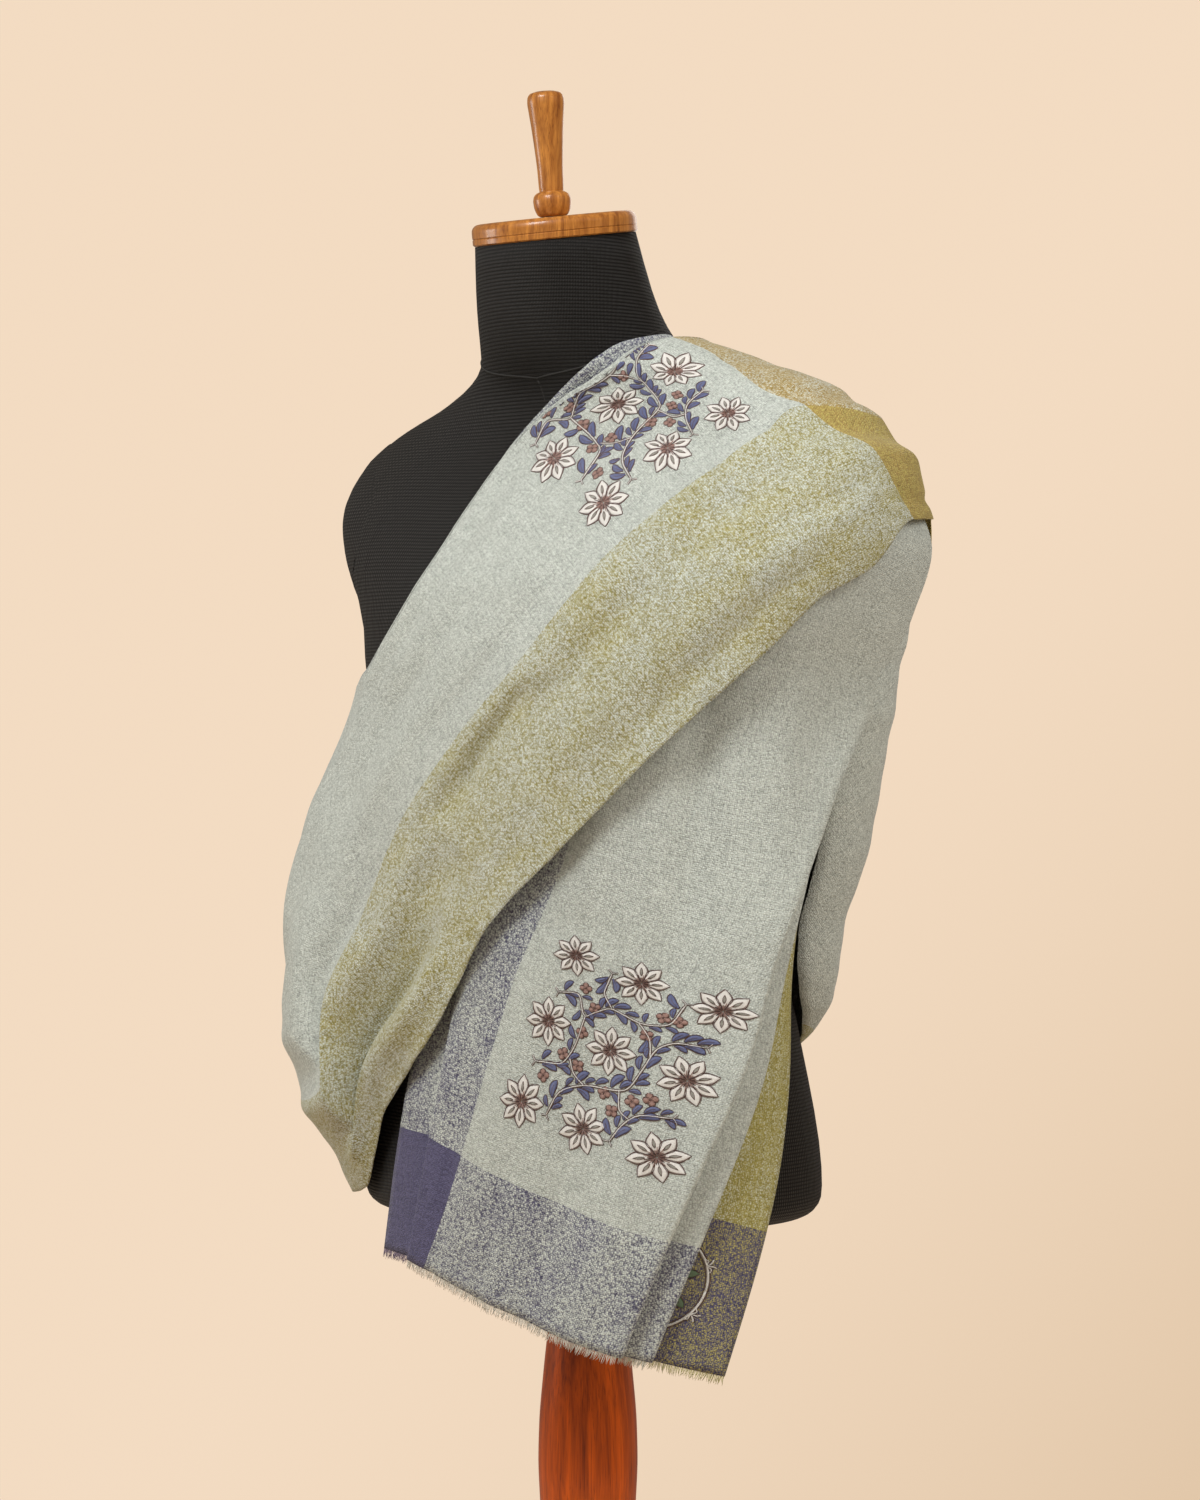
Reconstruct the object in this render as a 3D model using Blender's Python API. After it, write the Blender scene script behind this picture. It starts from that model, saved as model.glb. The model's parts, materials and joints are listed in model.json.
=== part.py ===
"""Pashmina shawl worn over the left shoulder of a limbless dress form.

The form faces -Y and its left side is +X. Metres, +Z up, with the origin in the
middle of the stand's base, on the floor.

Places on the torso and on the cloth are given by three numbers: the turn in degrees
round the form (0 is the front, 90 the form's left side, 180 the back), the height
above the floor, and how far the point stands out from the surface.
"""
import math
from typing import NamedTuple

import bpy
import numpy as np

# ---------------------------------------------------------------- driving sizes
WALL = 0.0011                # thickness of the modelled cloth
GAP = 0.0003                 # clearance where two pieces meet
SEAM = 0.0003                # how far each stretch of the cloth stops short of its seam
RUN_COLUMNS = 18             # points across the worn cloth
CLOTH_LENGTH = 2.70          # of the woven shawl, without its fringe
BORDER = 0.12                # width of the woven borders, on all four sides
HOOK_DEPTH = 0.036           # how far the sash's upper edge is folded under
HOOK_DROP = 0.0052           # from the sash down to its folded-under layer
HOOK_FADE = 0.12             # length of cloth over which it grows from each seam
HOOK_LEAST = 0.12            # its least share of the full depth
FRINGE_LENGTH = 0.008
FRINGE_STRIP = 0.002         # height of the strip that holds the fringe's roots
FRINGE_PITCH = 0.0056        # from one lock of the fringe to the next

FORM_BOTTOM = 0.804
FORM_EDGE = 0.020            # rounding of the torso's lower edge
FORM_SIDES = 40
ARM_TURN = 86.0              # middle of the arm openings, and half their size
ARM_HALF_TURN = 24.0
ARM_HEIGHT = 1.326
ARM_HALF_HEIGHT = 0.050
ARM_EDGE = 0.002             # thickness of the arm caps at their rim
ARM_BULGE = 0.019
ARM_SEAT = 0.0016            # from the torso out to the caps, along X
NECK_TILT = math.radians(9.0)
NECK_TOP = (0.0, -0.0405, 1.552)
NECK_RADIUS = 0.0622
CAP_THICKNESS = 0.0165
POST_RADIUS = 0.0385
BASE_RADIUS = 0.205
BASE_THICKNESS = 0.030


class Ring(NamedTuple):
    """One level section of a rounded body."""
    height: float
    half_width: float
    front: float
    back: float
    middle: float            # place of its centre along Y
    fullness: float          # 2 is an ellipse, more is squarer


TORSO = (
    Ring(0.600, 0.188, 0.138, 0.138, 0.003, 2.3),
    Ring(0.830, 0.190, 0.139, 0.140, 0.003, 2.3),
    Ring(0.860, 0.188, 0.137, 0.139, 0.003, 2.3),
    Ring(0.900, 0.181, 0.131, 0.134, 0.002, 2.3),
    Ring(0.960, 0.168, 0.121, 0.121, 0.002, 2.3),
    Ring(1.020, 0.161, 0.115, 0.112, 0.003, 2.3),
    Ring(1.080, 0.166, 0.118, 0.113, 0.004, 2.3),
    Ring(1.150, 0.182, 0.128, 0.121, 0.006, 2.35),
    Ring(1.220, 0.194, 0.134, 0.130, 0.008, 2.4),
    Ring(1.275, 0.202, 0.130, 0.132, 0.012, 2.5),
    Ring(1.320, 0.212, 0.115, 0.126, 0.020, 2.6),
    Ring(1.360, 0.222, 0.096, 0.110, 0.026, 2.7),
    Ring(1.385, 0.224, 0.084, 0.098, 0.029, 2.6),
    Ring(1.404, 0.218, 0.079, 0.090, 0.028, 2.3),
    Ring(1.418, 0.202, 0.077, 0.087, 0.026, 2.1),
    Ring(1.428, 0.177, 0.076, 0.086, 0.023, 2.0),
    Ring(1.438, 0.150, 0.076, 0.085, 0.018, 1.9),
    Ring(1.448, 0.116, 0.077, 0.084, 0.010, 1.9),
    Ring(1.458, 0.087, 0.077, 0.082, 0.000, 2.0),
    Ring(1.480, 0.0745, 0.0745, 0.076, -0.016, 2.0),
    Ring(1.505, 0.0690, 0.0690, 0.069, -0.028, 2.0),
    Ring(1.530, 0.0655, 0.0655, 0.0655, -0.035, 2.0),
)

# The cloth bridges the waist and the arm openings, so it hangs from fuller sections.
DRAPE = (
    Ring(0.600, 0.190, 0.140, 0.140, 0.003, 2.3),
    Ring(0.830, 0.191, 0.140, 0.141, 0.003, 2.3),
    Ring(0.900, 0.190, 0.139, 0.139, 0.003, 2.3),
    Ring(0.960, 0.190, 0.138, 0.138, 0.004, 2.3),
    Ring(1.020, 0.191, 0.137, 0.137, 0.004, 2.3),
    Ring(1.080, 0.192, 0.136, 0.136, 0.005, 2.35),
    Ring(1.150, 0.196, 0.136, 0.135, 0.006, 2.4),
    Ring(1.220, 0.206, 0.136, 0.134, 0.008, 2.4),
    Ring(1.275, 0.224, 0.131, 0.133, 0.012, 2.5),
    Ring(1.320, 0.239, 0.117, 0.127, 0.020, 2.6),
    Ring(1.360, 0.241, 0.098, 0.112, 0.026, 2.6),
    Ring(1.385, 0.232, 0.086, 0.099, 0.029, 2.5),
    Ring(1.404, 0.220, 0.080, 0.091, 0.028, 2.3),
    Ring(1.418, 0.202, 0.077, 0.087, 0.026, 2.1),
    Ring(1.428, 0.177, 0.076, 0.086, 0.023, 2.0),
    Ring(1.438, 0.150, 0.076, 0.085, 0.018, 1.9),
    Ring(1.448, 0.116, 0.077, 0.084, 0.010, 1.9),
    Ring(1.458, 0.087, 0.077, 0.082, 0.000, 2.0),
    Ring(1.480, 0.0745, 0.0745, 0.076, -0.016, 2.0),
)


class RunRow(NamedTuple):
    """One line across the worn cloth, from its upper edge down to the olive edge.

    Each of the four places is (turn, height, out in millimetres).
    """
    along: float             # metres of cloth from the hem of the front fall
    width: float             # metres of cloth from the olive edge to the upper edge
    edge: tuple              # the upper edge
    crown: tuple             # halfway between the upper edge and the border
    border: tuple            # the inner line of the olive border
    olive: tuple             # the olive edge


RUN = (
    RunRow(0.818, 0.60, (90, 1.445, 9.5), (96.2, 1.413, 9.9), (102.4, 1.382, 12.3), (105.5, 1.366, 15)),
    RunRow(0.87, 0.60, (118, 1.444, 7), (113, 1.409, 9), (112.5, 1.372, 12), (112.5, 1.342, 20)),
    RunRow(0.92, 0.60, (138, 1.432, 7), (127, 1.382, 9), (118.5, 1.340, 16), (115, 1.304, 29)),
    RunRow(1.02, 0.62, (156, 1.405, 4), (139, 1.310, 12), (122, 1.255, 24), (114, 1.220, 41)),
    RunRow(1.12, 0.64, (170, 1.376, 2), (153, 1.235, 12), (132, 1.155, 22), (117, 1.120, 35)),
    RunRow(1.225, 0.66, (183, 1.350, 0), (167, 1.170, 12), (146, 1.075, 18), (121, 1.010, 12)),
    RunRow(1.30, 0.66, (193, 1.328, -0.2), (180, 1.135, 13), (159, 1.030, 16), (134, 0.955, 9)),
    RunRow(1.385, 0.64, (203, 1.305, -0.2), (193, 1.105, 14), (177, 0.990, 15), (160, 0.905, 8)),
    RunRow(1.47, 0.62, (212, 1.282, -0.5), (205, 1.080, 16), (198, 0.960, 15), (191, 0.862, 7)),
    RunRow(1.56, 0.60, (222, 1.258, -2), (222, 1.058, 24), (226, 0.930, 19), (224, 0.830, 6)),
    RunRow(1.63, 0.57, (230, 1.240, -4), (236, 1.045, 36), (252, 0.908, 27), (250, 0.817, 6)),
    RunRow(1.70, 0.53, (238, 1.226, -6.4), (249, 1.035, 48), (279, 0.893, 38), (276, 0.813, 6)),
    RunRow(1.76, 0.49, (245, 1.218, -8), (263, 1.028, 56), (303, 0.888, 46), (298, 0.815, 6)),
    RunRow(1.826, 0.45, (252, 1.213, -9), (280, 1.025, 61), (318.5, 0.904, 50), (313, 0.823, 6)),
    RunRow(1.886, 0.42, (263, 1.210, -10), (294, 1.048, 60), (315, 0.963, 46), (325.7, 0.883, 10)),
    RunRow(1.986, 0.37, (281, 1.208, -5), (300, 1.100, 44), (322, 1.034, 29), (349, 0.947, 20)),
    RunRow(2.086, 0.32, (299, 1.212, -2), (312, 1.145, 20), (333.4, 1.100, 20), (370.7, 1.027, 24)),
    RunRow(2.186, 0.26, (311, 1.222, 4), (333, 1.192, 12), (354.6, 1.164, 18), (394.1, 1.090, 26)),
    RunRow(2.286, 0.26, (331.7, 1.294, 8), (358.6, 1.261, 13), (381.2, 1.229, 19), (413.7, 1.159, 27)),
    RunRow(2.386, 0.26, (340, 1.386, 8), (382.5, 1.340, 14), (403.4, 1.298, 20), (428.8, 1.222, 28)),
    RunRow(2.486, 0.25, (405.4, 1.449, 13), (416.8, 1.402, 17), (423.9, 1.355, 21), (441.1, 1.288, 29)),
    RunRow(2.536, 0.25, (422, 1.455, 17), (428, 1.418, 18), (432.2, 1.379, 21), (447.3, 1.307, 32)),
    RunRow(2.586, 0.25, (455, 1.460, 20), (440, 1.426, 16.5), (440.5, 1.403, 16.5), (455.1, 1.334, 31)),
    RunRow(2.64, 0.25, (482, 1.454, 18.5), (464, 1.424, 16), (460, 1.396, 16), (466, 1.336, 33)),
    RunRow(2.70, 0.25, (500, 1.437, 14), (484, 1.398, 15), (476, 1.360, 20), (472, 1.306, 38)),
)
SHOULDER_AT = RUN[0].along
HIP_AT = 1.56                # where the back drape becomes the side loop
SIDE_AT = 2.036              # where the side loop becomes the front sash
TAIL_AT = 2.612              # where the sash passes over the shoulder as the end tail


class Crease(NamedTuple):
    """A long soft trough (negative depth) or ridge in the worn cloth."""
    from_along: float
    from_width: float        # metres from the olive edge
    to_along: float
    to_width: float
    depth: float             # millimetres
    spread: float            # millimetres, from its middle to where it fades


CREASES = (
    Crease(1.66, 0.050, 1.93, 0.055, -10, 24),
    Crease(1.84, 0.085, 2.12, 0.060, -12, 20),
    Crease(1.00, 0.300, 1.60, 0.260, 13, 38),
    Crease(1.02, 0.220, 1.62, 0.180, -9, 32),
    Crease(0.98, 0.420, 1.52, 0.360, -8, 36),
    Crease(1.00, 0.520, 1.56, 0.460, 8, 34),
)


class FallRow(NamedTuple):
    """One line across the front fall: its front face runs from left fold to right fold.

    The shares give the other edges as parts of that face's width, measured from the
    left fold: below 0 they stick out on the left, above 1 on the right.
    """
    along: float
    left: tuple              # turn and height of the face's left fold
    right: tuple             # turn and height of the face's right fold
    indigo_share: float      # the indigo edge, behind the left fold
    peek_share: float        # the second fold on the right
    olive_share: float       # the olive edge, behind the second fold
    inner_out: float         # millimetres from the drape surface to the lowest layer
    left_out: float          # millimetres to the face at its left fold
    right_out: float         # and at its right fold


FALL = (
    FallRow(0.00, (-21.9, 0.776), (46.2, 0.719), -0.223, 1.085, 1.335, 4.5, 14, 24),
    FallRow(0.12, (-10.9, 0.894), (58.2, 0.825), -0.236, 1.090, 1.314, 5.5, 14, 24),
    FallRow(0.244, (0.0, 1.019), (70.9, 0.927), -0.150, 1.087, 1.257, 4.5, 12, 22),
    FallRow(0.35, (8.7, 1.090), (79.2, 1.016), -0.120, 1.085, 1.180, 3.5, 10.5, 20),
    FallRow(0.45, (16.0, 1.170), (94.0, 1.125), -0.110, 1.040, 1.090, 3, 10, 23),
    FallRow(0.55, (24.0, 1.250), (103.0, 1.205), -0.100, 1.025, 1.045, 3, 9.5, 31),
    FallRow(0.64, (33.0, 1.325), (106.0, 1.275), -0.090, 1.015, 1.030, 3, 9, 37),
    FallRow(0.69, (41.0, 1.365), (104.5, 1.312), -0.080, 1.010, 1.020, 3, 9, 35),
    FallRow(0.73, (50.0, 1.395), (102.0, 1.336), -0.080, 1.005, 1.005, 3.5, 9.0, 27),
    FallRow(0.77, (64.0, 1.425), (101.0, 1.355), -0.080, 0.995, 0.990, 3.8, 9.5, 19),
    FallRow(0.818, (90.0, 1.445), (105.0, 1.3685), -0.080, 0.985, 0.970, 3.8, 9.5, 15),
)
UNDER_LEFT = 0.08            # share of the face where the hidden folds turn back
UNDER_RIGHT = 0.66
UNDER_PEEK = 0.78


class Fringe(NamedTuple):
    """One stretch of fringe on the front fall's hem, in the fall's shares."""
    name: str
    start: float
    end: float
    sunk: float              # share of the way in from the face to the lowest layer


FRINGES = (
    Fringe("shawl_fringe_indigo", -0.223, -0.01, 1.0),
    Fringe("shawl_fringe_front", 0.0, 1.0, 0.0),
    Fringe("shawl_fringe_fold", 1.02, 1.085, 0.5),
    Fringe("shawl_fringe_olive", 0.95, 1.335, 1.0),
)


class Material(NamedTuple):
    """A plain finish for the solids."""
    colour: tuple
    roughness: float
    metallic: float = 0.0


MATERIALS = {
    "woven_cloth": Material((0.42, 0.46, 0.38), 0.9),
    "fringe_yarn": Material((0.62, 0.58, 0.45), 0.9),
    "black_cover": Material((0.012, 0.012, 0.013), 0.8),
    "light_wood": Material((0.40, 0.19, 0.06), 0.35),
    "red_wood": Material((0.13, 0.035, 0.02), 0.25),
}


# ---------------------------------------------------------------- curves and surfaces
def smooth(knots, values, at):
    """Read a curve that never overshoots, through (knots, values), at the places `at`."""
    knots = np.asarray(knots, float)
    values = np.asarray(values, float)
    at = np.clip(np.asarray(at, float), knots[0], knots[-1])
    step = np.diff(knots)
    rise = np.diff(values) / step
    slope = np.concatenate(([rise[0]], np.zeros(len(knots) - 2), [rise[-1]]))
    same_way = rise[:-1] * rise[1:] > 0
    total = np.where(same_way, rise[:-1] + rise[1:], 1.0)
    slope[1:-1] = np.where(same_way, 2 * rise[:-1] * rise[1:] / total, 0.0)
    cell = np.clip(np.searchsorted(knots, at, side="right") - 1, 0, len(step) - 1)
    width = step[cell]
    t = (at - knots[cell]) / width
    return (values[cell] * (1 + 2 * t) * (1 - t) ** 2 + values[cell + 1] * t * t * (3 - 2 * t)
            + slope[cell] * width * t * (1 - t) ** 2 + slope[cell + 1] * width * t * t * (t - 1))


def ring_points(rings, turn, height):
    """Points on the surface through `rings`, for arrays of turns and heights."""
    heights = [ring.height for ring in rings]
    half_width, front, back, middle, fullness = (
        smooth(heights, [ring[field] for ring in rings], height) for field in range(1, 6))
    angle = np.radians(turn)
    side, ahead = np.sin(angle), np.cos(angle)
    depth = np.where(ahead > 0, front, back)
    reach = (np.abs(side / half_width) ** fullness
             + np.abs(ahead / depth) ** fullness) ** (-1 / fullness)
    return np.stack([reach * side, middle - reach * ahead, height + 0 * side], -1)


def drape_points(turn, height, out):
    """Points that stand `out` metres off the drape surface."""
    turn, height, out = (np.asarray(values, float) for values in (turn, height, out))
    small_turn, small_height = 0.5, 0.004
    across = ring_points(DRAPE, turn + small_turn, height) - ring_points(DRAPE, turn - small_turn, height)
    upward = ring_points(DRAPE, turn, height + small_height) - ring_points(DRAPE, turn, height - small_height)
    normal = np.cross(across, upward)
    normal /= np.linalg.norm(normal, axis=-1, keepdims=True)
    return ring_points(DRAPE, turn, height) + normal * out[..., None]


def grid_normals(points):
    """Unit normals of a grid of points, from its neighbours both ways."""
    normal = np.cross(np.gradient(points, axis=0), np.gradient(points, axis=1))
    return normal / np.linalg.norm(normal, axis=-1, keepdims=True)


# ---------------------------------------------------------------- mesh builders
def add_object(name, verts, faces, material, smooth_angle=40.0):
    """Make one mesh object with its material, shaded smooth but for sharp edges."""
    mesh = bpy.data.meshes.new(name)
    mesh.from_pydata([tuple(map(float, vert)) for vert in verts], [], faces)
    mesh.validate()
    mesh.materials.append(material)
    mesh.shade_smooth()
    mesh.set_sharp_from_angle(angle=math.radians(smooth_angle))
    piece = bpy.data.objects.new(name, mesh)
    bpy.context.scene.collection.objects.link(piece)
    return piece


def grid_faces(points, start, flip):
    """Triangles of a grid whose points are numbered row by row from `start`.

    Each cell is cut along its shorter diagonal, so layers that lie on each other, and
    the two sides of a wall, bend alike.
    """
    rows, columns = points.shape[:2]
    falling = np.linalg.norm(points[:-1, :-1] - points[1:, 1:], axis=-1)
    rising = np.linalg.norm(points[:-1, 1:] - points[1:, :-1], axis=-1)
    faces = []
    for row in range(rows - 1):
        for column in range(columns - 1):
            here = start + row * columns + column
            beside, below, across = here + 1, here + columns, here + columns + 1
            if falling[row, column] <= rising[row, column]:
                cell = ((here, beside, across), (here, across, below))
            else:
                cell = ((here, beside, below), (beside, across, below))
            faces += [face[::-1] if flip else face for face in cell]
    return faces


def border_loop(rows, columns):
    """The numbers of a grid's border points, once round."""
    top = [column for column in range(columns)]
    right = [row * columns + columns - 1 for row in range(1, rows)]
    bottom = [(rows - 1) * columns + column for column in range(columns - 2, -1, -1)]
    left = [row * columns for row in range(rows - 2, 0, -1)]
    return top + right + bottom + left


def wall_mesh(points, thickness, normals=None):
    """A closed wall of even thickness round a grid of middle points."""
    rows, columns = points.shape[:2]
    if normals is None:
        normals = grid_normals(points)
    offset = normals * (thickness / 2)
    verts = np.concatenate([(points + offset).reshape(-1, 3), (points - offset).reshape(-1, 3)])
    count = rows * columns
    faces = grid_faces(points, 0, flip=True) + grid_faces(points, count, flip=False)
    loop = border_loop(rows, columns)
    for here, after in zip(loop, loop[1:] + loop[:1]):
        faces.append((here, after, after + count, here + count))
    return verts, faces


def lofted_mesh(rings):
    """A closed body through equal rings of points, with a flat fan at each end."""
    sides = len(rings[0])
    verts = [point for ring in rings for point in ring]
    faces = []
    for level in range(len(rings) - 1):
        for side in range(sides):
            after = (side + 1) % sides
            low, high = level * sides, (level + 1) * sides
            faces.append((low + side, low + after, high + after, high + side))
    faces.append(tuple(range(sides))[::-1])
    faces.append(tuple((len(rings) - 1) * sides + side for side in range(sides)))
    return verts, faces


def turned_mesh(profile, sides, foot=(0.0, 0.0, 0.0), lean=0.0, twist=0.0):
    """A turned body: `profile` lists (radius, height); lean tips it about X, twist about Y."""
    cos_lean, sin_lean = math.cos(lean), math.sin(lean)
    cos_twist, sin_twist = math.cos(twist), math.sin(twist)
    rings = []
    for radius, height in profile:
        ring = []
        for side in range(sides):
            angle = 2 * math.pi * side / sides
            x, y, z = radius * math.cos(angle), radius * math.sin(angle), height
            x, z = x * cos_twist + z * sin_twist, z * cos_twist - x * sin_twist
            y, z = y * cos_lean - z * sin_lean, z * cos_lean + y * sin_lean
            ring.append((foot[0] + x, foot[1] + y, foot[2] + z))
        rings.append(ring)
    return lofted_mesh(rings)


# ---------------------------------------------------------------- dress form and stand
def torso_level(height, inset=0.0, sides=FORM_SIDES):
    """One level ring of the torso, pulled in by `inset`."""
    turn = np.arange(sides) * 360.0 / sides
    points = ring_points(TORSO, turn, np.full(sides, height))
    middle = np.array([0.0, smooth([r.height for r in TORSO], [r.middle for r in TORSO], height), height])
    away = points - middle
    return middle + away * (1 - inset / np.linalg.norm(away, axis=1, keepdims=True))


def build_torso(material):
    """The torso with its neck, closed below by a rounded edge and above by the sloped neck."""
    levels = []
    for step in range(4):
        angle = math.radians(90 - step * 30)
        rise = FORM_EDGE * (1 - math.sin(angle))
        inset = FORM_EDGE * (1 - math.cos(angle))
        levels.append(torso_level(FORM_BOTTOM + rise, inset=inset))
    heights = [0.86, 0.91, 0.965, 1.02, 1.07, 1.125, 1.18, 1.235, 1.28, 1.315, 1.345,
               1.37, 1.39, 1.405, 1.418, 1.428, 1.438, 1.448, 1.458, 1.468, 1.485, 1.51]
    levels += [torso_level(height) for height in heights]
    sides = np.arange(FORM_SIDES) * 2 * math.pi / FORM_SIDES
    top = np.stack([NECK_RADIUS * np.sin(sides), -NECK_RADIUS * np.cos(sides) * math.cos(NECK_TILT),
                    -NECK_RADIUS * np.cos(sides) * math.sin(NECK_TILT)], -1) + np.array(NECK_TOP)
    levels.append(top)
    return add_object("form_torso", *lofted_mesh(levels), material)


def build_arm_cap(name, side, material):
    """A domed oval over one arm opening, from the torso's own surface moved out.

    side is +1 for the form's left and -1 for its right.
    """
    sides, steps = 24, 4
    under, over = [], []
    for step in range(steps):
        share = 1 - step / steps
        angle = np.arange(sides) * 2 * math.pi / sides
        turn = ARM_TURN + ARM_HALF_TURN * share * np.cos(angle)
        height = ARM_HEIGHT + ARM_HALF_HEIGHT * share * np.sin(angle)
        surface = ring_points(TORSO, turn, height)
        rise = ARM_EDGE + ARM_BULGE * math.sqrt(1 - share ** 2)
        under.append(surface + [ARM_SEAT, 0, 0])
        over.append(surface + [ARM_SEAT + rise, 0, 0])
    middle = ring_points(TORSO, np.array([ARM_TURN]), np.array([ARM_HEIGHT]))
    tips = [middle + [ARM_SEAT, 0, 0], middle + [ARM_SEAT + ARM_EDGE + ARM_BULGE, 0, 0]]
    verts = np.concatenate(under[::-1] + over + tips)
    verts[:, 0] *= side
    faces = []
    levels = 2 * steps
    for level in range(levels - 1):
        for start in range(sides):
            after = (start + 1) % sides
            low, high = level * sides, (level + 1) * sides
            faces.append((low + start, low + after, high + after, high + start))
    first, last = levels * sides, levels * sides + 1
    top = (levels - 1) * sides
    for start in range(sides):
        after = (start + 1) % sides
        faces.append((first, after, start))
        faces.append((last, top + start, top + after))
    if side < 0:
        faces = [face[::-1] for face in faces]
    return add_object(name, verts, faces, material)


def build_neck_cap(material):
    """The wooden disc on the neck, square below and rounded above, tilted with it."""
    edge = 0.006
    radius = NECK_RADIUS + 0.0012
    profile = [(radius - 0.001, 0.0), (radius, 0.001), (radius, CAP_THICKNESS - edge)]
    for step in range(1, 5):
        angle = math.radians(step * 22.5)
        profile.append((radius - edge * (1 - math.cos(angle)),
                        CAP_THICKNESS - edge * (1 - math.sin(angle))))
    seat = (NECK_TOP[0], NECK_TOP[1] - GAP * math.sin(NECK_TILT), NECK_TOP[2] + GAP * math.cos(NECK_TILT))
    return add_object("neck_cap", *turned_mesh(profile, 32, seat, lean=NECK_TILT), material)


def build_finial(material):
    """The turned handle on the cap: a collar, a groove and a club-shaped grip."""
    profile = [(0.0100, 0.0), (0.0118, 0.0015), (0.0142, 0.008), (0.0145, 0.0120), (0.0138, 0.0155),
               (0.0115, 0.0180), (0.0092, 0.0190), (0.0095, 0.0220), (0.0098, 0.034), (0.0108, 0.050),
               (0.0123, 0.068), (0.0136, 0.080), (0.0142, 0.0865), (0.0138, 0.0905), (0.0118, 0.0935),
               (0.0070, 0.0950)]
    lean = math.radians(3.0)
    rise = CAP_THICKNESS + 2 * GAP + profile[0][0] * math.sin(lean)
    foot = (NECK_TOP[0], NECK_TOP[1] - rise * math.sin(NECK_TILT), NECK_TOP[2] + rise * math.cos(NECK_TILT))
    collar = turned_mesh(profile, 16, foot, lean=NECK_TILT - lean)
    return add_object("finial", *collar, material)


def build_post(material):
    """The turned post from the base up into the torso's underside."""
    top = FORM_BOTTOM - GAP
    foot = BASE_THICKNESS + GAP
    profile = [(0.052, foot), (0.054, foot + 0.006), (0.050, foot + 0.014), (0.036, foot + 0.022),
               (0.030, foot + 0.040), (0.029, 0.150), (0.0305, 0.30), (0.0325, 0.42), (0.0320, 0.470),
               (0.0275, 0.485), (0.0275, 0.492), (0.0335, 0.500), (0.0345, 0.530), (0.0372, 0.580),
               (POST_RADIUS, 0.612), (0.0378, 0.640), (0.0345, 0.680), (0.0305, 0.720), (0.0290, 0.745),
               (0.0380, 0.765), (0.0400, 0.780), (0.0400, top)]
    return add_object("stand_post", *turned_mesh(profile, 20), material)


def build_base(material):
    """The round base plate, flat below, with a moulded upper edge."""
    radius = BASE_RADIUS
    profile = [(radius - 0.003, 0.0), (radius, 0.003), (radius, 0.014), (radius - 0.004, 0.019),
               (radius - 0.012, 0.0215), (radius - 0.020, 0.0225), (radius - 0.034, 0.027),
               (radius - 0.060, BASE_THICKNESS)]
    return add_object("stand_base", *turned_mesh(profile, 40), material)


# ---------------------------------------------------------------- worn cloth
def run_width(along):
    """Metres of cloth between the olive edge and the upper edge at `along`."""
    return smooth([row.along for row in RUN], [row.width for row in RUN], along)


def crease_out(along, width_at):
    """How far the creases push a place of the worn cloth out, in metres."""
    out = np.zeros(np.broadcast(along, width_at).shape)
    for crease in CREASES:
        start = np.array([crease.from_along, crease.from_width])
        path = np.array([crease.to_along, crease.to_width]) - start
        length = np.linalg.norm(path)
        share = ((along - start[0]) * path[0] + (width_at - start[1]) * path[1]) / length ** 2
        nearest = np.clip(share, 0, 1)
        off_along = along - start[0] - nearest * path[0]
        off_width = width_at - start[1] - nearest * path[1]
        distance = np.hypot(off_along * 0.5, off_width)
        fade = np.sin(np.pi * nearest) ** 0.6
        out = out + crease.depth / 1000 * fade * np.exp(-(distance * 1000 / crease.spread) ** 2)
    return out


def run_point(along, width_at, lift=0.0):
    """A place on the worn cloth: metres along it, and metres up from its olive edge."""
    along, width_at = np.broadcast_arrays(np.asarray(along, float), np.asarray(width_at, float))
    knots = [row.along for row in RUN]
    full = run_width(along)
    marks = (np.zeros_like(full), np.full_like(full, BORDER), (full + BORDER) / 2, full)
    place = []
    for field in range(3):
        values = [smooth(knots, [getattr(row, name)[field] for row in RUN], along)
                  for name in ("olive", "border", "crown", "edge")]
        place.append(four_point_curve(width_at, marks, values))
    turn, height, out = place
    return drape_points(turn, height, out / 1000 + crease_out(along, width_at) + lift)


def four_point_curve(at, knots, values):
    """A smooth curve through four values, for arrays of places, knots and values."""
    steps = [knots[i + 1] - knots[i] for i in range(3)]
    rises = [(values[i + 1] - values[i]) / steps[i] for i in range(3)]
    slopes = [rises[0]]
    for i in range(2):
        slopes.append((rises[i] * steps[i + 1] + rises[i + 1] * steps[i]) / (steps[i] + steps[i + 1]))
    slopes.append(rises[2])
    result = np.zeros_like(at)
    for i in range(3):
        t = np.clip((at - knots[i]) / steps[i], 0, 1)
        piece = (values[i] * (1 + 2 * t) * (1 - t) ** 2 + values[i + 1] * t * t * (3 - 2 * t)
                 + slopes[i] * steps[i] * t * (1 - t) ** 2 + slopes[i + 1] * steps[i] * t * t * (t - 1))
        inside = (at >= knots[i]) if i == 2 else (at >= knots[i]) & (at < knots[i + 1])
        result = np.where(inside, piece, result)
    return result


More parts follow.
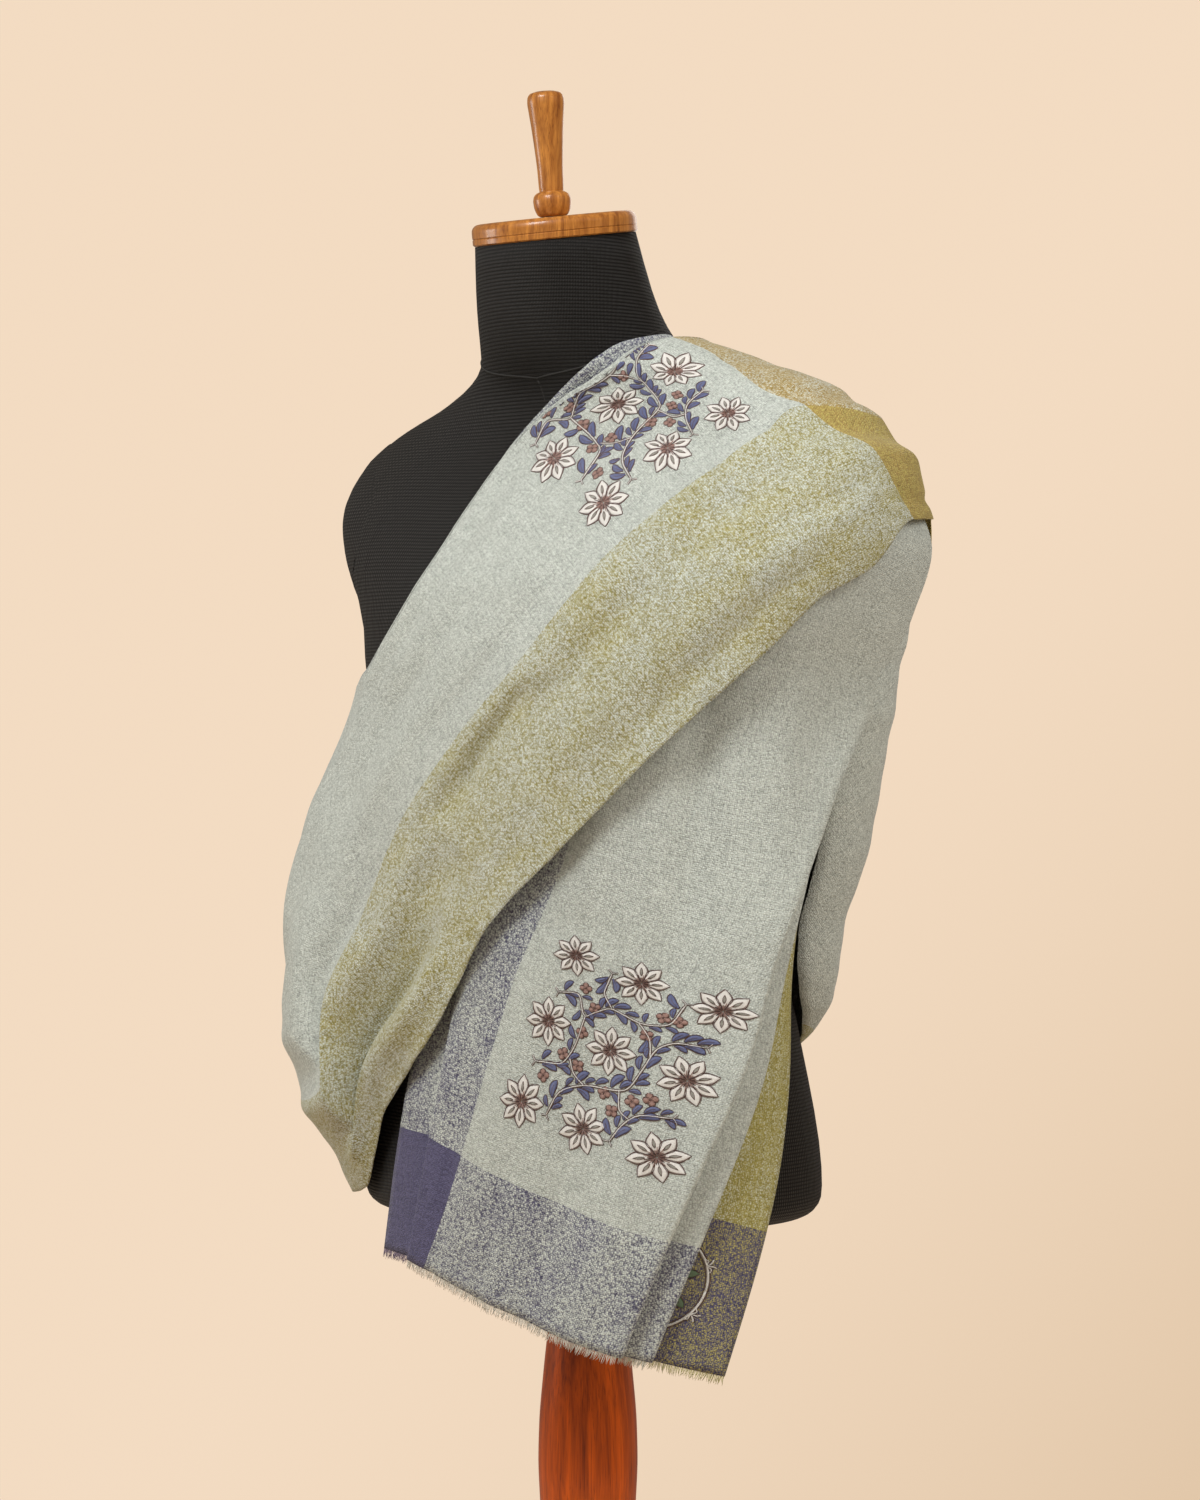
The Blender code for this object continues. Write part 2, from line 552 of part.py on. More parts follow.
def run_grid(start, end, rows, columns, hooked):
    """Middle points of the worn cloth from `start` to `end` along it.

    Where it is hooked, more columns carry its upper edge round and under.
    """
    along = np.linspace(start, end, rows)[:, None]
    share = np.linspace(0, 1, columns)[None, :]
    top = run_width(along)
    points = run_point(along + 0 * share, top * share)
    if not hooked:
        return points
    depth = HOOK_DEPTH * np.clip(np.minimum(along - SIDE_AT, TAIL_AT - along) / HOOK_FADE, HOOK_LEAST, 1.0)
    extra = []
    radius = HOOK_DROP / 2
    for angle in (45, 90, 135):
        turn = math.radians(angle)
        place = top - radius + radius * math.sin(turn)
        extra.append(run_point(along, place, lift=-radius * (1 - math.cos(turn))))
    for part in (0.0, 0.5, 1.0):
        place = top - radius - depth * part - 0.001
        extra.append(run_point(along, place, lift=-HOOK_DROP))
    points[:, -1:] = run_point(along, top - radius)
    return np.concatenate([points] + extra, axis=1)


def build_run(name, start, end, rows, hooked, material):
    """One stretch of the worn cloth, a hair short of its neighbours."""
    step = (end - start - 2 * SEAM) / (rows - 1)
    points = run_grid(start + SEAM - step, end - SEAM + step, rows + 2, RUN_COLUMNS, hooked)
    normals = grid_normals(points)[1:-1]
    return add_object(name, *wall_mesh(points[1:-1], WALL, normals), material)


def fall_out(values, share):
    """Millimetres from the drape surface to the face: it rises late, towards its right fold."""
    left_out, right_out = values[9:11]
    return left_out + (right_out - left_out) * np.clip(share, 0, 1) ** 3


def fall_point(values, share, sunk):
    """A place on the front fall: share across its face, and share of the way in from it."""
    left_turn, left_height, right_turn, right_height = values[1:5]
    turn = left_turn + (right_turn - left_turn) * share
    height = left_height + (right_height - left_height) * share
    face, inner = fall_out(values, share), values[8]
    return drape_points(turn, height, (face + (inner - face) * sunk) / 1000)


def fall_values(along):
    """The FallRow values at a place along the front fall, as a flat array."""
    flat = [(row.along, *row.left, *row.right, *row[3:]) for row in FALL]
    knots = [row.along for row in FALL]
    return np.array([smooth(knots, [row[field] for row in flat], along) for field in range(len(flat[0]))])


def fall_columns(values):
    """The zigzag across the fall, from its indigo edge to its olive edge.

    Each point is (share of the face, share of the way in to the lowest layer).
    """
    indigo, peek, olive, inner_out = values[5:9]
    face_width = np.linalg.norm(fall_point(values, 1.0, 0.0) - fall_point(values, 0.0, 0.0))
    columns = []

    def layer(start, end, count, sunk):
        """Points along one flat layer."""
        for share in np.linspace(start, end, count):
            columns.append((share, sunk))

    def bend(share, outward, sunk_from, sunk_to):
        """Points round one fold."""
        depth = (fall_out(values, share) - inner_out) / 1000
        middle, half = (sunk_from + sunk_to) / 2, (sunk_to - sunk_from) / 2
        bulge = abs(half) * depth / face_width
        for angle in (-45, 0, 45):
            turn = math.radians(angle)
            columns.append((share + outward * bulge * math.cos(turn), middle + half * math.sin(turn)))

    layer(indigo, UNDER_LEFT, 4, 1.0)
    bend(UNDER_LEFT, 1, 1.0, 0.5)
    layer(UNDER_LEFT, 0.0, 2, 0.5)
    bend(0.0, -1, 0.5, 0.0)
    layer(0.0, 1.0, 10, 0.0)
    bend(1.0, 1, 0.0, 0.25)
    layer(1.0, UNDER_RIGHT, 4, 0.25)
    bend(UNDER_RIGHT, -1, 0.25, 0.5)
    layer(UNDER_RIGHT, peek, 4, 0.5)
    bend(peek, 1, 0.5, 0.75)
    layer(peek, UNDER_PEEK, 4, 0.75)
    bend(UNDER_PEEK, -1, 0.75, 1.0)
    layer(UNDER_PEEK, olive, 7, 1.0)
    return columns


def fall_grid(stations):
    """Middle points of the front fall, a row for each place along it."""
    rows = []
    for along in stations:
        values = fall_values(along)
        rows.append([fall_point(values, share, depth) for share, depth in fall_columns(values)])
    return np.array(rows)


def build_fall(material):
    """The pleated front fall, from its hem up to the shoulder."""
    stations = list(np.linspace(0.0, 0.45, 9)) + [0.505, 0.56, 0.61, 0.65, 0.685, 0.72, 0.75, 0.775, 0.797,
                                                  SHOULDER_AT - SEAM]
    return add_object("shawl_front_fall", *wall_mesh(fall_grid(stations), WALL), material)


# ---------------------------------------------------------------- fringe
def fringe_mesh(roots, down, across):
    """A narrow strip below a hem, with tapered locks fused to its lower edge.

    roots are points along the hem, one more than there are locks; down and across are
    unit directions at each of them. Neighbouring locks share their roots.
    """
    count = len(roots)
    half = across * (WALL / 2)
    low = roots + down * FRINGE_STRIP
    tips = (low[:-1] + low[1:]) / 2 + down[:-1] * FRINGE_LENGTH
    verts = np.concatenate([roots + half, roots - half, low + half, low - half, tips])
    outer, inner, outer_low, inner_low, first_tip = (count * level for level in range(5))
    last = count - 1
    faces = [(outer, inner, inner_low, outer_low),
             (outer + last, outer_low + last, inner_low + last, inner + last)]
    for lock in range(last):
        after = lock + 1
        tip = first_tip + lock
        faces.append((outer + lock, outer_low + lock, outer_low + after, outer + after))
        faces.append((inner + lock, inner + after, inner_low + after, inner_low + lock))
        faces.append((outer + lock, outer + after, inner + after, inner + lock))
        faces.append((outer_low + lock, tip, outer_low + after))
        faces.append((inner_low + after, tip, inner_low + lock))
        faces.append((outer_low + lock, inner_low + lock, tip))
        faces.append((inner_low + after, outer_low + after, tip))
    return verts, faces


def build_fringe(name, hem_place, material):
    """Fringe along one hem; hem_place(share, above) gives places on the cloth above it."""
    rough = hem_place(np.linspace(0, 1, 40), 0.0)
    length = np.linalg.norm(np.diff(rough, axis=0), axis=1).sum()
    share = np.linspace(0, 1, max(3, round(length / FRINGE_PITCH) + 1))
    hem, above = hem_place(share, 0.0), hem_place(share, 0.02)
    down = hem - above
    down /= np.linalg.norm(down, axis=1, keepdims=True)
    across = np.cross(down, np.gradient(hem, axis=0))
    across /= np.linalg.norm(across, axis=1, keepdims=True)
    return add_object(name, *fringe_mesh(hem + down * GAP, down, across), material)


def build_fringes(material):
    """The fringe of the front fall, one strip for each layer that shows, and of the end tail."""
    def fall_hem(strip):
        """Places along one layer of the fall's hem."""
        def place(share, above):
            across = strip.start + (strip.end - strip.start) * share
            return fall_point(fall_values(above), across, strip.sunk)
        return place

    def tail_hem(share, above):
        """Places along the end tail's hem, from its upper edge down."""
        return run_point(CLOTH_LENGTH - above, run_width(CLOTH_LENGTH) * (1 - share))

    for strip in FRINGES:
        build_fringe(strip.name, fall_hem(strip), material)
    build_fringe("shawl_fringe_tail", tail_hem, material)


# ---------------------------------------------------------------- the whole part
def make_material(name, finish):
    """One plain Principled material."""
    material = bpy.data.materials.new(name)
    material.use_nodes = True
    shader = material.node_tree.nodes["Principled BSDF"]
    shader.inputs["Base Color"].default_value = (*finish.colour, 1.0)
    shader.inputs["Roughness"].default_value = finish.roughness
    shader.inputs["Metallic"].default_value = finish.metallic
    return material


def main():
    """Clear the scene and build every piece."""
    for old in list(bpy.data.objects):
        bpy.data.objects.remove(old, do_unlink=True)
    finish = {name: make_material(name, values) for name, values in MATERIALS.items()}
    build_torso(finish["black_cover"])
    build_arm_cap("arm_cap_left", 1, finish["black_cover"])
    build_arm_cap("arm_cap_right", -1, finish["black_cover"])
    build_neck_cap(finish["light_wood"])
    build_finial(finish["light_wood"])
    build_post(finish["red_wood"])
    build_base(finish["red_wood"])
    cloth = finish["woven_cloth"]
    build_fall(cloth)
    build_run("shawl_back_drape", SHOULDER_AT, HIP_AT, 22, False, cloth)
    build_run("shawl_side_loop", HIP_AT, SIDE_AT, 15, False, cloth)
    build_run("shawl_front_sash", SIDE_AT, TAIL_AT, 20, True, cloth)
    build_run("shawl_end_tail", TAIL_AT, CLOTH_LENGTH, 5, False, cloth)
    build_fringes(finish["fringe_yarn"])


main()
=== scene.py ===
"""Looks of a bordered pashmina shawl worn over the left shoulder of a limbless dress form.

The form faces -Y and its left side is +X. Metres, +Z up, with the origin in the middle of
the stand's base, on the floor.

Places on the torso and on the cloth are given by three numbers: the turn in degrees round
the form (0 is the front, 90 the form's left side, 180 the back), the height above the
floor, and how far the point stands out from the surface. Places on the cut cloth are given
by two: u, metres from its olive selvedge, and v, metres from the hem of the front fall.
"""
import json
import logging
import math
from contextlib import contextmanager
from dataclasses import dataclass
from enum import Enum
from typing import Any, Callable, Iterator, NamedTuple

import bmesh
import bpy
import numpy as np
from mathutils import Euler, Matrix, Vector

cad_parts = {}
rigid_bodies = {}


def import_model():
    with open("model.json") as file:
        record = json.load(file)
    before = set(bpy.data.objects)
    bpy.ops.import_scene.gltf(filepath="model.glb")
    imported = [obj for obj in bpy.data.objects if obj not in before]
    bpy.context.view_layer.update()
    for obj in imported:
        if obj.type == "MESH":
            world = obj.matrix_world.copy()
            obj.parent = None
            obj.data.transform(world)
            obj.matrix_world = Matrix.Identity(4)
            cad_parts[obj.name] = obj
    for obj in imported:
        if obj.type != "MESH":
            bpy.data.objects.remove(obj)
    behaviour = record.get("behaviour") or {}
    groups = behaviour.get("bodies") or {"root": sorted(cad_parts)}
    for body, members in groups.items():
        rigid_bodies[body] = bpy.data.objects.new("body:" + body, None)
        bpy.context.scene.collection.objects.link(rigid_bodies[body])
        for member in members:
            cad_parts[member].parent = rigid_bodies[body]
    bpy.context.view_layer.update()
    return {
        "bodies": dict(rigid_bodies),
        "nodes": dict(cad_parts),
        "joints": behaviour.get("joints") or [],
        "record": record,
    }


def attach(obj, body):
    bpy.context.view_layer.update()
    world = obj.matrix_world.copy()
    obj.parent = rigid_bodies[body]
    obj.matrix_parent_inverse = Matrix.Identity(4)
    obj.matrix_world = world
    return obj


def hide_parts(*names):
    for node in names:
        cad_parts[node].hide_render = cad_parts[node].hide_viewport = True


Array = np.ndarray
Piece = bpy.types.Object
Socket = bpy.types.NodeSocket
Material = bpy.types.Material

LOG = logging.getLogger("shawl")
BODY = "root"
MM = 0.001


# ---- curves
def rounded(t: Array, width: Any, low: Any, high: Any, slope_low: Any, slope_high: Any) -> Array:
    """A cubic stretch, `width` wide, between two values with given slopes; t runs from 0 to 1."""
    return (low * (1 + 2 * t) * (1 - t) ** 2 + high * t * t * (3 - 2 * t)
            + slope_low * width * t * (1 - t) ** 2 + slope_high * width * t * t * (t - 1))


def smooth(knots: Any, values: Any, at: Any) -> Array:
    """Read a curve that never overshoots.

    Args:
        knots: Rising places along the curve.
        values: The curve's value at each of them.
        at: Places to read.

    Returns:
        The values at `at`.
    """
    knots = np.asarray(knots, float)
    values = np.asarray(values, float)
    at = np.clip(np.asarray(at, float), knots[0], knots[-1])
    step = np.diff(knots)
    rise = np.diff(values) / step
    slope = np.concatenate(([rise[0]], np.zeros(len(knots) - 2), [rise[-1]]))
    same_way = rise[:-1] * rise[1:] > 0
    total = np.where(same_way, rise[:-1] + rise[1:], 1.0)
    slope[1:-1] = np.where(same_way, 2 * rise[:-1] * rise[1:] / total, 0.0)
    cell = np.clip(np.searchsorted(knots, at, side="right") - 1, 0, len(step) - 1)
    width = step[cell]
    t = (at - knots[cell]) / width
    return rounded(t, width, values[cell], values[cell + 1], slope[cell], slope[cell + 1])


def four_point_curve(at: Array, knots: list[Array], values: list[Array]) -> Array:
    """Read a smooth curve through four values.

    Args:
        at: Places to read.
        knots: Four arrays of rising places.
        values: Four arrays of values there.

    Returns:
        The values at `at`.
    """
    steps = [knots[i + 1] - knots[i] for i in range(3)]
    rises = [(values[i + 1] - values[i]) / steps[i] for i in range(3)]
    slopes = [rises[0]]
    for i in range(2):
        slopes.append((rises[i] * steps[i + 1] + rises[i + 1] * steps[i]) / (steps[i] + steps[i + 1]))
    slopes.append(rises[2])
    result = np.zeros_like(at)
    for i in range(3):
        t = np.clip((at - knots[i]) / steps[i], 0, 1)
        piece = rounded(t, steps[i], values[i], values[i + 1], slopes[i], slopes[i + 1])
        inside = (at >= knots[i]) if i == 2 else (at >= knots[i]) & (at < knots[i + 1])
        result = np.where(inside, piece, result)
    return result


def unit(vectors: Array) -> Array:
    """Scale an array of vectors to length one."""
    return vectors / np.maximum(np.linalg.norm(vectors, axis=-1, keepdims=True), 1e-12)


def walked(path: Array) -> Array:
    """How far along a path each of its points lies."""
    return np.concatenate([[0.0], np.cumsum(np.linalg.norm(np.diff(path, axis=0), axis=1))])


# ---- the rounded bodies
class Ring(NamedTuple):
    """One level section of a rounded body."""
    height: float
    half_width: float
    front: float
    back: float
    middle: float  # place of its centre along Y
    fullness: float  # 2 is an ellipse, more is squarer


@dataclass(frozen=True)
class RoundedBody:
    """A smooth body through level rings."""
    rings: tuple[Ring, ...]

    def points(self, turn: Array, height: Array) -> Array:
        """Points on the surface.

        Args:
            turn: Degrees round the body.
            height: Metres above the floor.

        Returns:
            Points, one for each pair.
        """
        heights = [ring.height for ring in self.rings]
        half_width, front, back, middle, fullness = (
            smooth(heights, [ring[field] for ring in self.rings], height) for field in range(1, 6))
        angle = np.radians(turn)
        side, ahead = np.sin(angle), np.cos(angle)
        depth = np.where(ahead > 0, front, back)
        reach = (np.abs(side / half_width) ** fullness
                 + np.abs(ahead / depth) ** fullness) ** (-1 / fullness)
        return np.stack([reach * side, middle - reach * ahead, height + 0 * side], -1)

    def off(self, turn: Any, height: Any, out: Any) -> Array:
        """Points that stand `out` metres off the surface.

        Args:
            turn: Degrees round the body.
            height: Metres above the floor.
            out: Metres off the surface.

        Returns:
            Points, one for each set of three.
        """
        turn, height, out = (np.asarray(part, float) for part in np.broadcast_arrays(turn, height, out))
        small_turn, small_height = 0.5, 0.004
        across = self.points(turn + small_turn, height) - self.points(turn - small_turn, height)
        upward = self.points(turn, height + small_height) - self.points(turn, height - small_height)
        return self.points(turn, height) + unit(np.cross(across, upward)) * out[..., None]


# From here up the cloth lies on the form.
SHOULDER_RINGS = (
    Ring(1.418, 0.202, 0.077, 0.087, 0.026, 2.1),
    Ring(1.428, 0.177, 0.076, 0.086, 0.023, 2.0),
    Ring(1.438, 0.15, 0.076, 0.085, 0.018, 1.9),
    Ring(1.448, 0.116, 0.077, 0.084, 0.01, 1.9),
    Ring(1.458, 0.087, 0.077, 0.082, 0.0, 2.0),
    Ring(1.48, 0.0745, 0.0745, 0.076, -0.016, 2.0),
)
TORSO = RoundedBody((
    Ring(0.6, 0.188, 0.138, 0.138, 0.003, 2.3),
    Ring(0.83, 0.19, 0.139, 0.14, 0.003, 2.3),
    Ring(0.86, 0.188, 0.137, 0.139, 0.003, 2.3),
    Ring(0.9, 0.181, 0.131, 0.134, 0.002, 2.3),
    Ring(0.96, 0.168, 0.121, 0.121, 0.002, 2.3),
    Ring(1.02, 0.161, 0.115, 0.112, 0.003, 2.3),
    Ring(1.08, 0.166, 0.118, 0.113, 0.004, 2.3),
    Ring(1.15, 0.182, 0.128, 0.121, 0.006, 2.35),
    Ring(1.22, 0.194, 0.134, 0.13, 0.008, 2.4),
    Ring(1.275, 0.202, 0.13, 0.132, 0.012, 2.5),
    Ring(1.32, 0.212, 0.115, 0.126, 0.02, 2.6),
    Ring(1.36, 0.222, 0.096, 0.11, 0.026, 2.7),
    Ring(1.385, 0.224, 0.084, 0.098, 0.029, 2.6),
    Ring(1.404, 0.218, 0.079, 0.09, 0.028, 2.3),
    *SHOULDER_RINGS,
    Ring(1.505, 0.069, 0.069, 0.069, -0.028, 2.0),
    Ring(1.53, 0.0655, 0.0655, 0.0655, -0.035, 2.0),
))

# The cloth bridges the waist and the arm openings, so it hangs from fuller sections.
DRAPE = RoundedBody((
    Ring(0.6, 0.19, 0.14, 0.14, 0.003, 2.3),
    Ring(0.83, 0.191, 0.14, 0.141, 0.003, 2.3),
    Ring(0.9, 0.19, 0.139, 0.139, 0.003, 2.3),
    Ring(0.96, 0.19, 0.138, 0.138, 0.004, 2.3),
    Ring(1.02, 0.191, 0.137, 0.137, 0.004, 2.3),
    Ring(1.08, 0.192, 0.136, 0.136, 0.005, 2.35),
    Ring(1.15, 0.196, 0.136, 0.135, 0.006, 2.4),
    Ring(1.22, 0.206, 0.136, 0.134, 0.008, 2.4),
    Ring(1.275, 0.224, 0.131, 0.133, 0.012, 2.5),
    Ring(1.32, 0.239, 0.117, 0.127, 0.02, 2.6),
    Ring(1.36, 0.241, 0.098, 0.112, 0.026, 2.6),
    Ring(1.385, 0.232, 0.086, 0.099, 0.029, 2.5),
    Ring(1.404, 0.22, 0.08, 0.091, 0.028, 2.3),
    *SHOULDER_RINGS,
))


# ---- shader nodes
class NodeBoard:
    """Adds nodes to one node tree and joins them. Each short method returns the new node's output."""

    def __init__(self, tree: bpy.types.NodeTree) -> None:
        """Keep the tree that the nodes go to."""
        self.tree = tree

    def feed(self, node: bpy.types.Node, inputs: dict[Any, Any]) -> None:
        """Give inputs of a node, by name or number, a plain value or another node's output."""
        for name, value in inputs.items():
            if isinstance(value, Socket):
                self.tree.links.new(value, node.inputs[name])
            else:
                node.inputs[name].default_value = value

    def add(self, kind: str, inputs: dict[Any, Any] | None = None, **settings: Any) -> bpy.types.Node:
        """Add one node.

        Args:
            kind: Its type name, after the word ShaderNode.
            inputs: A value or an output socket for each input, by name or number.
            settings: Its own properties.

        Returns:
            The node.
        """
        node = self.tree.nodes.new("ShaderNode" + kind)
        for name, value in settings.items():
            setattr(node, name, value)
        self.feed(node, inputs or {})
        return node

    def join(self, operation: str, first: Any, second: Any = 0.0, clamp: bool = False) -> Socket:
        """Join values by one Math node."""
        return self.add("Math", {0: first, 1: second}, operation=operation, use_clamp=clamp).outputs[0]

    def times(self, first: Any, *others: Any) -> Socket:
        """Multiply values."""
        for other in others:
            first = self.join("MULTIPLY", first, other)
        return first

    def plus(self, first: Any, *others: Any) -> Socket:
        """Add values up."""
        for other in others:
            first = self.join("ADD", first, other)
        return first

    def wave(self, place: Any, pitch: Any, turn: float = math.pi) -> Socket:
        """A sine that turns by `turn` radians over each pitch."""
        return self.join("SINE", self.times(self.join("DIVIDE", place, pitch), turn))

    def split(self, vector: Any) -> list[Socket]:
        """The three numbers of a vector."""
        return list(self.add("SeparateXYZ", {0: vector}).outputs)

    def scaled(self, vector: Any, scale: tuple[float, float, float]) -> Socket:
        """Stretch a vector."""
        return self.add("Mapping", {"Vector": vector, "Scale": scale}).outputs["Vector"]

    def noise(self, vector: Any, scale: Any = 1.0, detail: float = 2.0, roughness: float = 0.5) -> Socket:
        """Noise from 0 to 1."""
        return self.add("TexNoise", {"Vector": vector, "Scale": scale, "Detail": detail,
                                     "Roughness": roughness}).outputs["Fac"]

    def ramp(self, value: Any, low: float, high: float, to_low: float = 0.0, to_high: float = 1.0) -> Socket:
        """Map a value from one range to another, clamped."""
        return self.add("MapRange", {"Value": value, "From Min": low, "From Max": high, "To Min": to_low,
                                     "To Max": to_high}).outputs["Result"]

    def mix(self, factor: Any, first: Any, second: Any, blend: str = "MIX") -> Socket:
        """Mix two colours."""
        node = self.add("Mix", {0: factor, 6: first, 7: second}, data_type="RGBA", blend_type=blend)
        return node.outputs[2]

    def shaded(self, colour: Any, shade: Socket, amount: float = 1.0) -> Socket:
        """Multiply a colour by a grey value."""
        grey = self.add("CombineColor", {0: shade, 1: shade, 2: shade}).outputs[0]
        return self.mix(amount, colour, grey, "MULTIPLY")

    def own_map(self, title: str) -> Socket:
        """Places on the piece's own map of that title."""
        return self.add("UVMap", uv_map=title).outputs[0]


FLOAT, COLOUR, VECTOR = "NodeSocketFloat", "NodeSocketColor", "NodeSocketVector"
WHITE = (1.0, 1.0, 1.0, 1.0)


def node_group(name: str, inputs: dict[str, tuple[str, Any]], outputs: dict[str, str],
               fill: Callable[[NodeBoard, dict], dict[str, Socket]]) -> bpy.types.NodeTree:
    """Make one shader node group, once.

    Args:
        name: The group's name.
        inputs: Kind of socket and its value, by name.
        outputs: Kind of socket, by name.
        fill: Adds the nodes; it gets the board and the input sockets, and returns the outputs.

    Returns:
        The group.
    """
    if name in bpy.data.node_groups:
        return bpy.data.node_groups[name]
    group = bpy.data.node_groups.new(name, "ShaderNodeTree")
    for title, (kind, value) in inputs.items():
        socket = group.interface.new_socket(title, in_out="INPUT", socket_type=kind)
        if value is not None:
            socket.default_value = value
    for title, kind in outputs.items():
        group.interface.new_socket(title, in_out="OUTPUT", socket_type=kind)
    board = NodeBoard(group)
    entry = group.nodes.new("NodeGroupInput")
    given = {socket.name: socket for socket in entry.outputs if socket.name}
    board.feed(group.nodes.new("NodeGroupOutput"), fill(board, given))
    return group


def heather_weave() -> bpy.types.NodeTree:
    """Fine pebbled bird's-eye weave in which warp and weft yarns show as a heather of two colours, with
    painted shade and light on its relief.
    """
    def fill(board: NodeBoard, given: dict) -> dict[str, Socket]:
        """Add the group's nodes."""
        place, pitch = given["Place"], given["Yarn"]
        across, along = board.split(place)[:2]
        slants = (board.join(way, across, along) for way in ("ADD", "SUBTRACT"))
        eyes = board.times(*(board.wave(slant, pitch) for slant in slants))
        cells = board.add("TexVoronoi", {"Vector": given["Solid Place"], "Randomness": 0.85,
                                         "Scale": board.join("DIVIDE", 1.0, pitch)}, voronoi_dimensions="3D")
        pebble = board.ramp(cells.outputs["Distance"], 0.2, 0.82, -1.0, 1.0)
        cell_value = board.add("SeparateColor", {0: cells.outputs["Color"]}).outputs[0]
        grain = board.ramp(cell_value, 0.0, 1.0, -1.0, 1.0)
        lights = [board.add("RGBToBW", {0: given[name]}).outputs[0] for name in ("Weft", "Warp")]
        contrast = board.join("SUBTRACT", *lights)
        darker = board.ramp(contrast, -0.02, 0.02, 1.0, -1.0)
        # Painted shade of the relief: the darker of the two yarns is put in the pebble hollows, the lighter
        # on the raised eyes.
        spots = board.plus(board.times(pebble, 0.4), board.times(grain, 0.26), board.times(eyes, -0.15))
        patch = board.plus(board.noise(board.scaled(place, (30, 18, 1)), detail=3.0), -0.5)
        weight = board.plus(board.times(darker, spots), board.times(patch, 0.9))
        evenly = board.plus(board.times(contrast, given["Pale Cover"]), given["Balance"])
        colour = board.mix(board.join("ADD", weight, evenly, clamp=True), given["Warp"], given["Weft"])
        slubs = (board.noise(board.scaled(place, scale)) for scale in ((700, 45, 1), (45, 700, 1)))
        yarns = board.plus(*slubs, -1.0)
        cloud = board.plus(board.noise(place, 14.0, 3.0), -0.5)
        # Painted shade and light of the relief: hollows (pebble) darker, raised eyes lighter; slubs, cell
        # grain and cloud are random yarn tone.
        shade = board.plus(board.times(yarns, 0.45), board.times(pebble, -0.2), board.times(eyes, 0.14),
                           board.times(grain, -0.16), board.times(cloud, 0.14), 1.0)
        return {"Colour": board.shaded(colour, shade),
                "Height": board.plus(board.times(eyes, 0.2), board.times(pebble, -0.4))}

    return node_group("heather_weave", {"Place": (VECTOR, None), "Solid Place": (VECTOR, None),
                                        "Warp": (COLOUR, WHITE), "Weft": (COLOUR, WHITE),
                                        "Yarn": (FLOAT, 0.0019), "Pale Cover": (FLOAT, 0.2),
                                        "Balance": (FLOAT, 0.5)},
                      {"Colour": COLOUR, "Height": FLOAT}, fill)


def stitch_rows() -> bpy.types.NodeTree:
    """Rows of laid thread, across a stitched shape or along a strand, with painted light on their crests."""
    def fill(board: NodeBoard, given: dict) -> dict[str, Socket]:
        """Add the group's nodes."""
        along = board.split(given["Place"])[0]
        height = board.ramp(board.wave(along, given["Thread"], 2 * math.pi), -1.0, 1.0)
        tone = board.noise(board.scaled(given["Place"], (1500, 200, 1)))
        # Painted light of the rows: each thread's crest is lighter than the grooves beside it; the tone noise
        # is random thread colour.
        shade = board.plus(board.times(height, 0.22), board.times(tone, 0.4))
        return {"Shade": board.ramp(shade, 0.0, 0.62, 0.62, 1.12), "Height": height}

    return node_group("stitch_rows", {"Place": (VECTOR, None), "Thread": (FLOAT, 0.0006)},
                      {"Shade": FLOAT, "Height": FLOAT}, fill)


def plain_weave() -> bpy.types.NodeTree:
    """Tight plain weave of one yarn colour, with faint slubs, pale flecks and a painted highlight on its
    thread tops.
    """
    def fill(board: NodeBoard, given: dict) -> dict[str, Socket]:
        """Add the group's nodes."""
        place = given["Place"]
        checks = board.times(*(board.wave(axis, given["Yarn"]) for axis in board.split(place)[:2]))
        height = board.join("ABSOLUTE", checks)
        slubs = (board.noise(board.scaled(place, scale)) for scale in ((60, 900, 1), (900, 60, 1)))
        fleck = board.ramp(board.noise(place, 700.0, 1.0), 0.66, 0.8)
        # Painted highlight: the thread tops (height squared) are made much lighter than the hollows between
        # them.
        shade = board.plus(board.times(board.plus(*slubs), 0.3), board.times(height, height, 2.6),
                           board.times(fleck, given["Lint"]))
        return {"Shade": shade, "Height": height}

    return node_group("plain_weave", {"Place": (VECTOR, None), "Yarn": (FLOAT, 0.001), "Lint": (FLOAT, 0.5)},
                      {"Shade": FLOAT, "Height": FLOAT}, fill)


def wood_grain() -> bpy.types.NodeTree:
    """Long grain that runs along Z, with darker streaks and pores."""
    def fill(board: NodeBoard, given: dict) -> dict[str, Socket]:
        """Add the group's nodes."""
        bend = board.times(board.noise(board.scaled(given["Place"], (20, 20, 3))), 0.02)
        offset = board.add("CombineXYZ", {0: bend, 1: bend}).outputs[0]
        bent = board.add("VectorMath", {0: given["Place"], 1: offset}, operation="ADD").outputs[0]
        streaks = board.noise(board.scaled(bent, (140, 140, 5)), given["Scale"], 5.0, 0.6)
        fine = board.noise(board.scaled(bent, (900, 900, 22)), given["Scale"], 3.0, 0.6)
        figure = board.ramp(board.plus(board.times(streaks, 0.75), board.times(fine, 0.25)), 0.36, 0.66)
        pores = board.ramp(fine, 0.34, 0.42, 0.55, 1.0)
        return {"Colour": board.shaded(board.mix(figure, given["Dark"], given["Light"]), pores, 0.55),
                "Height": board.plus(fine, board.times(pores, 0.5)), "Figure": figure}

    return node_group("wood_grain", {"Place": (VECTOR, None), "Dark": (COLOUR, WHITE),
                                     "Light": (COLOUR, WHITE), "Scale": (FLOAT, 1.0)},
                      {"Colour": COLOUR, "Height": FLOAT, "Figure": FLOAT}, fill)


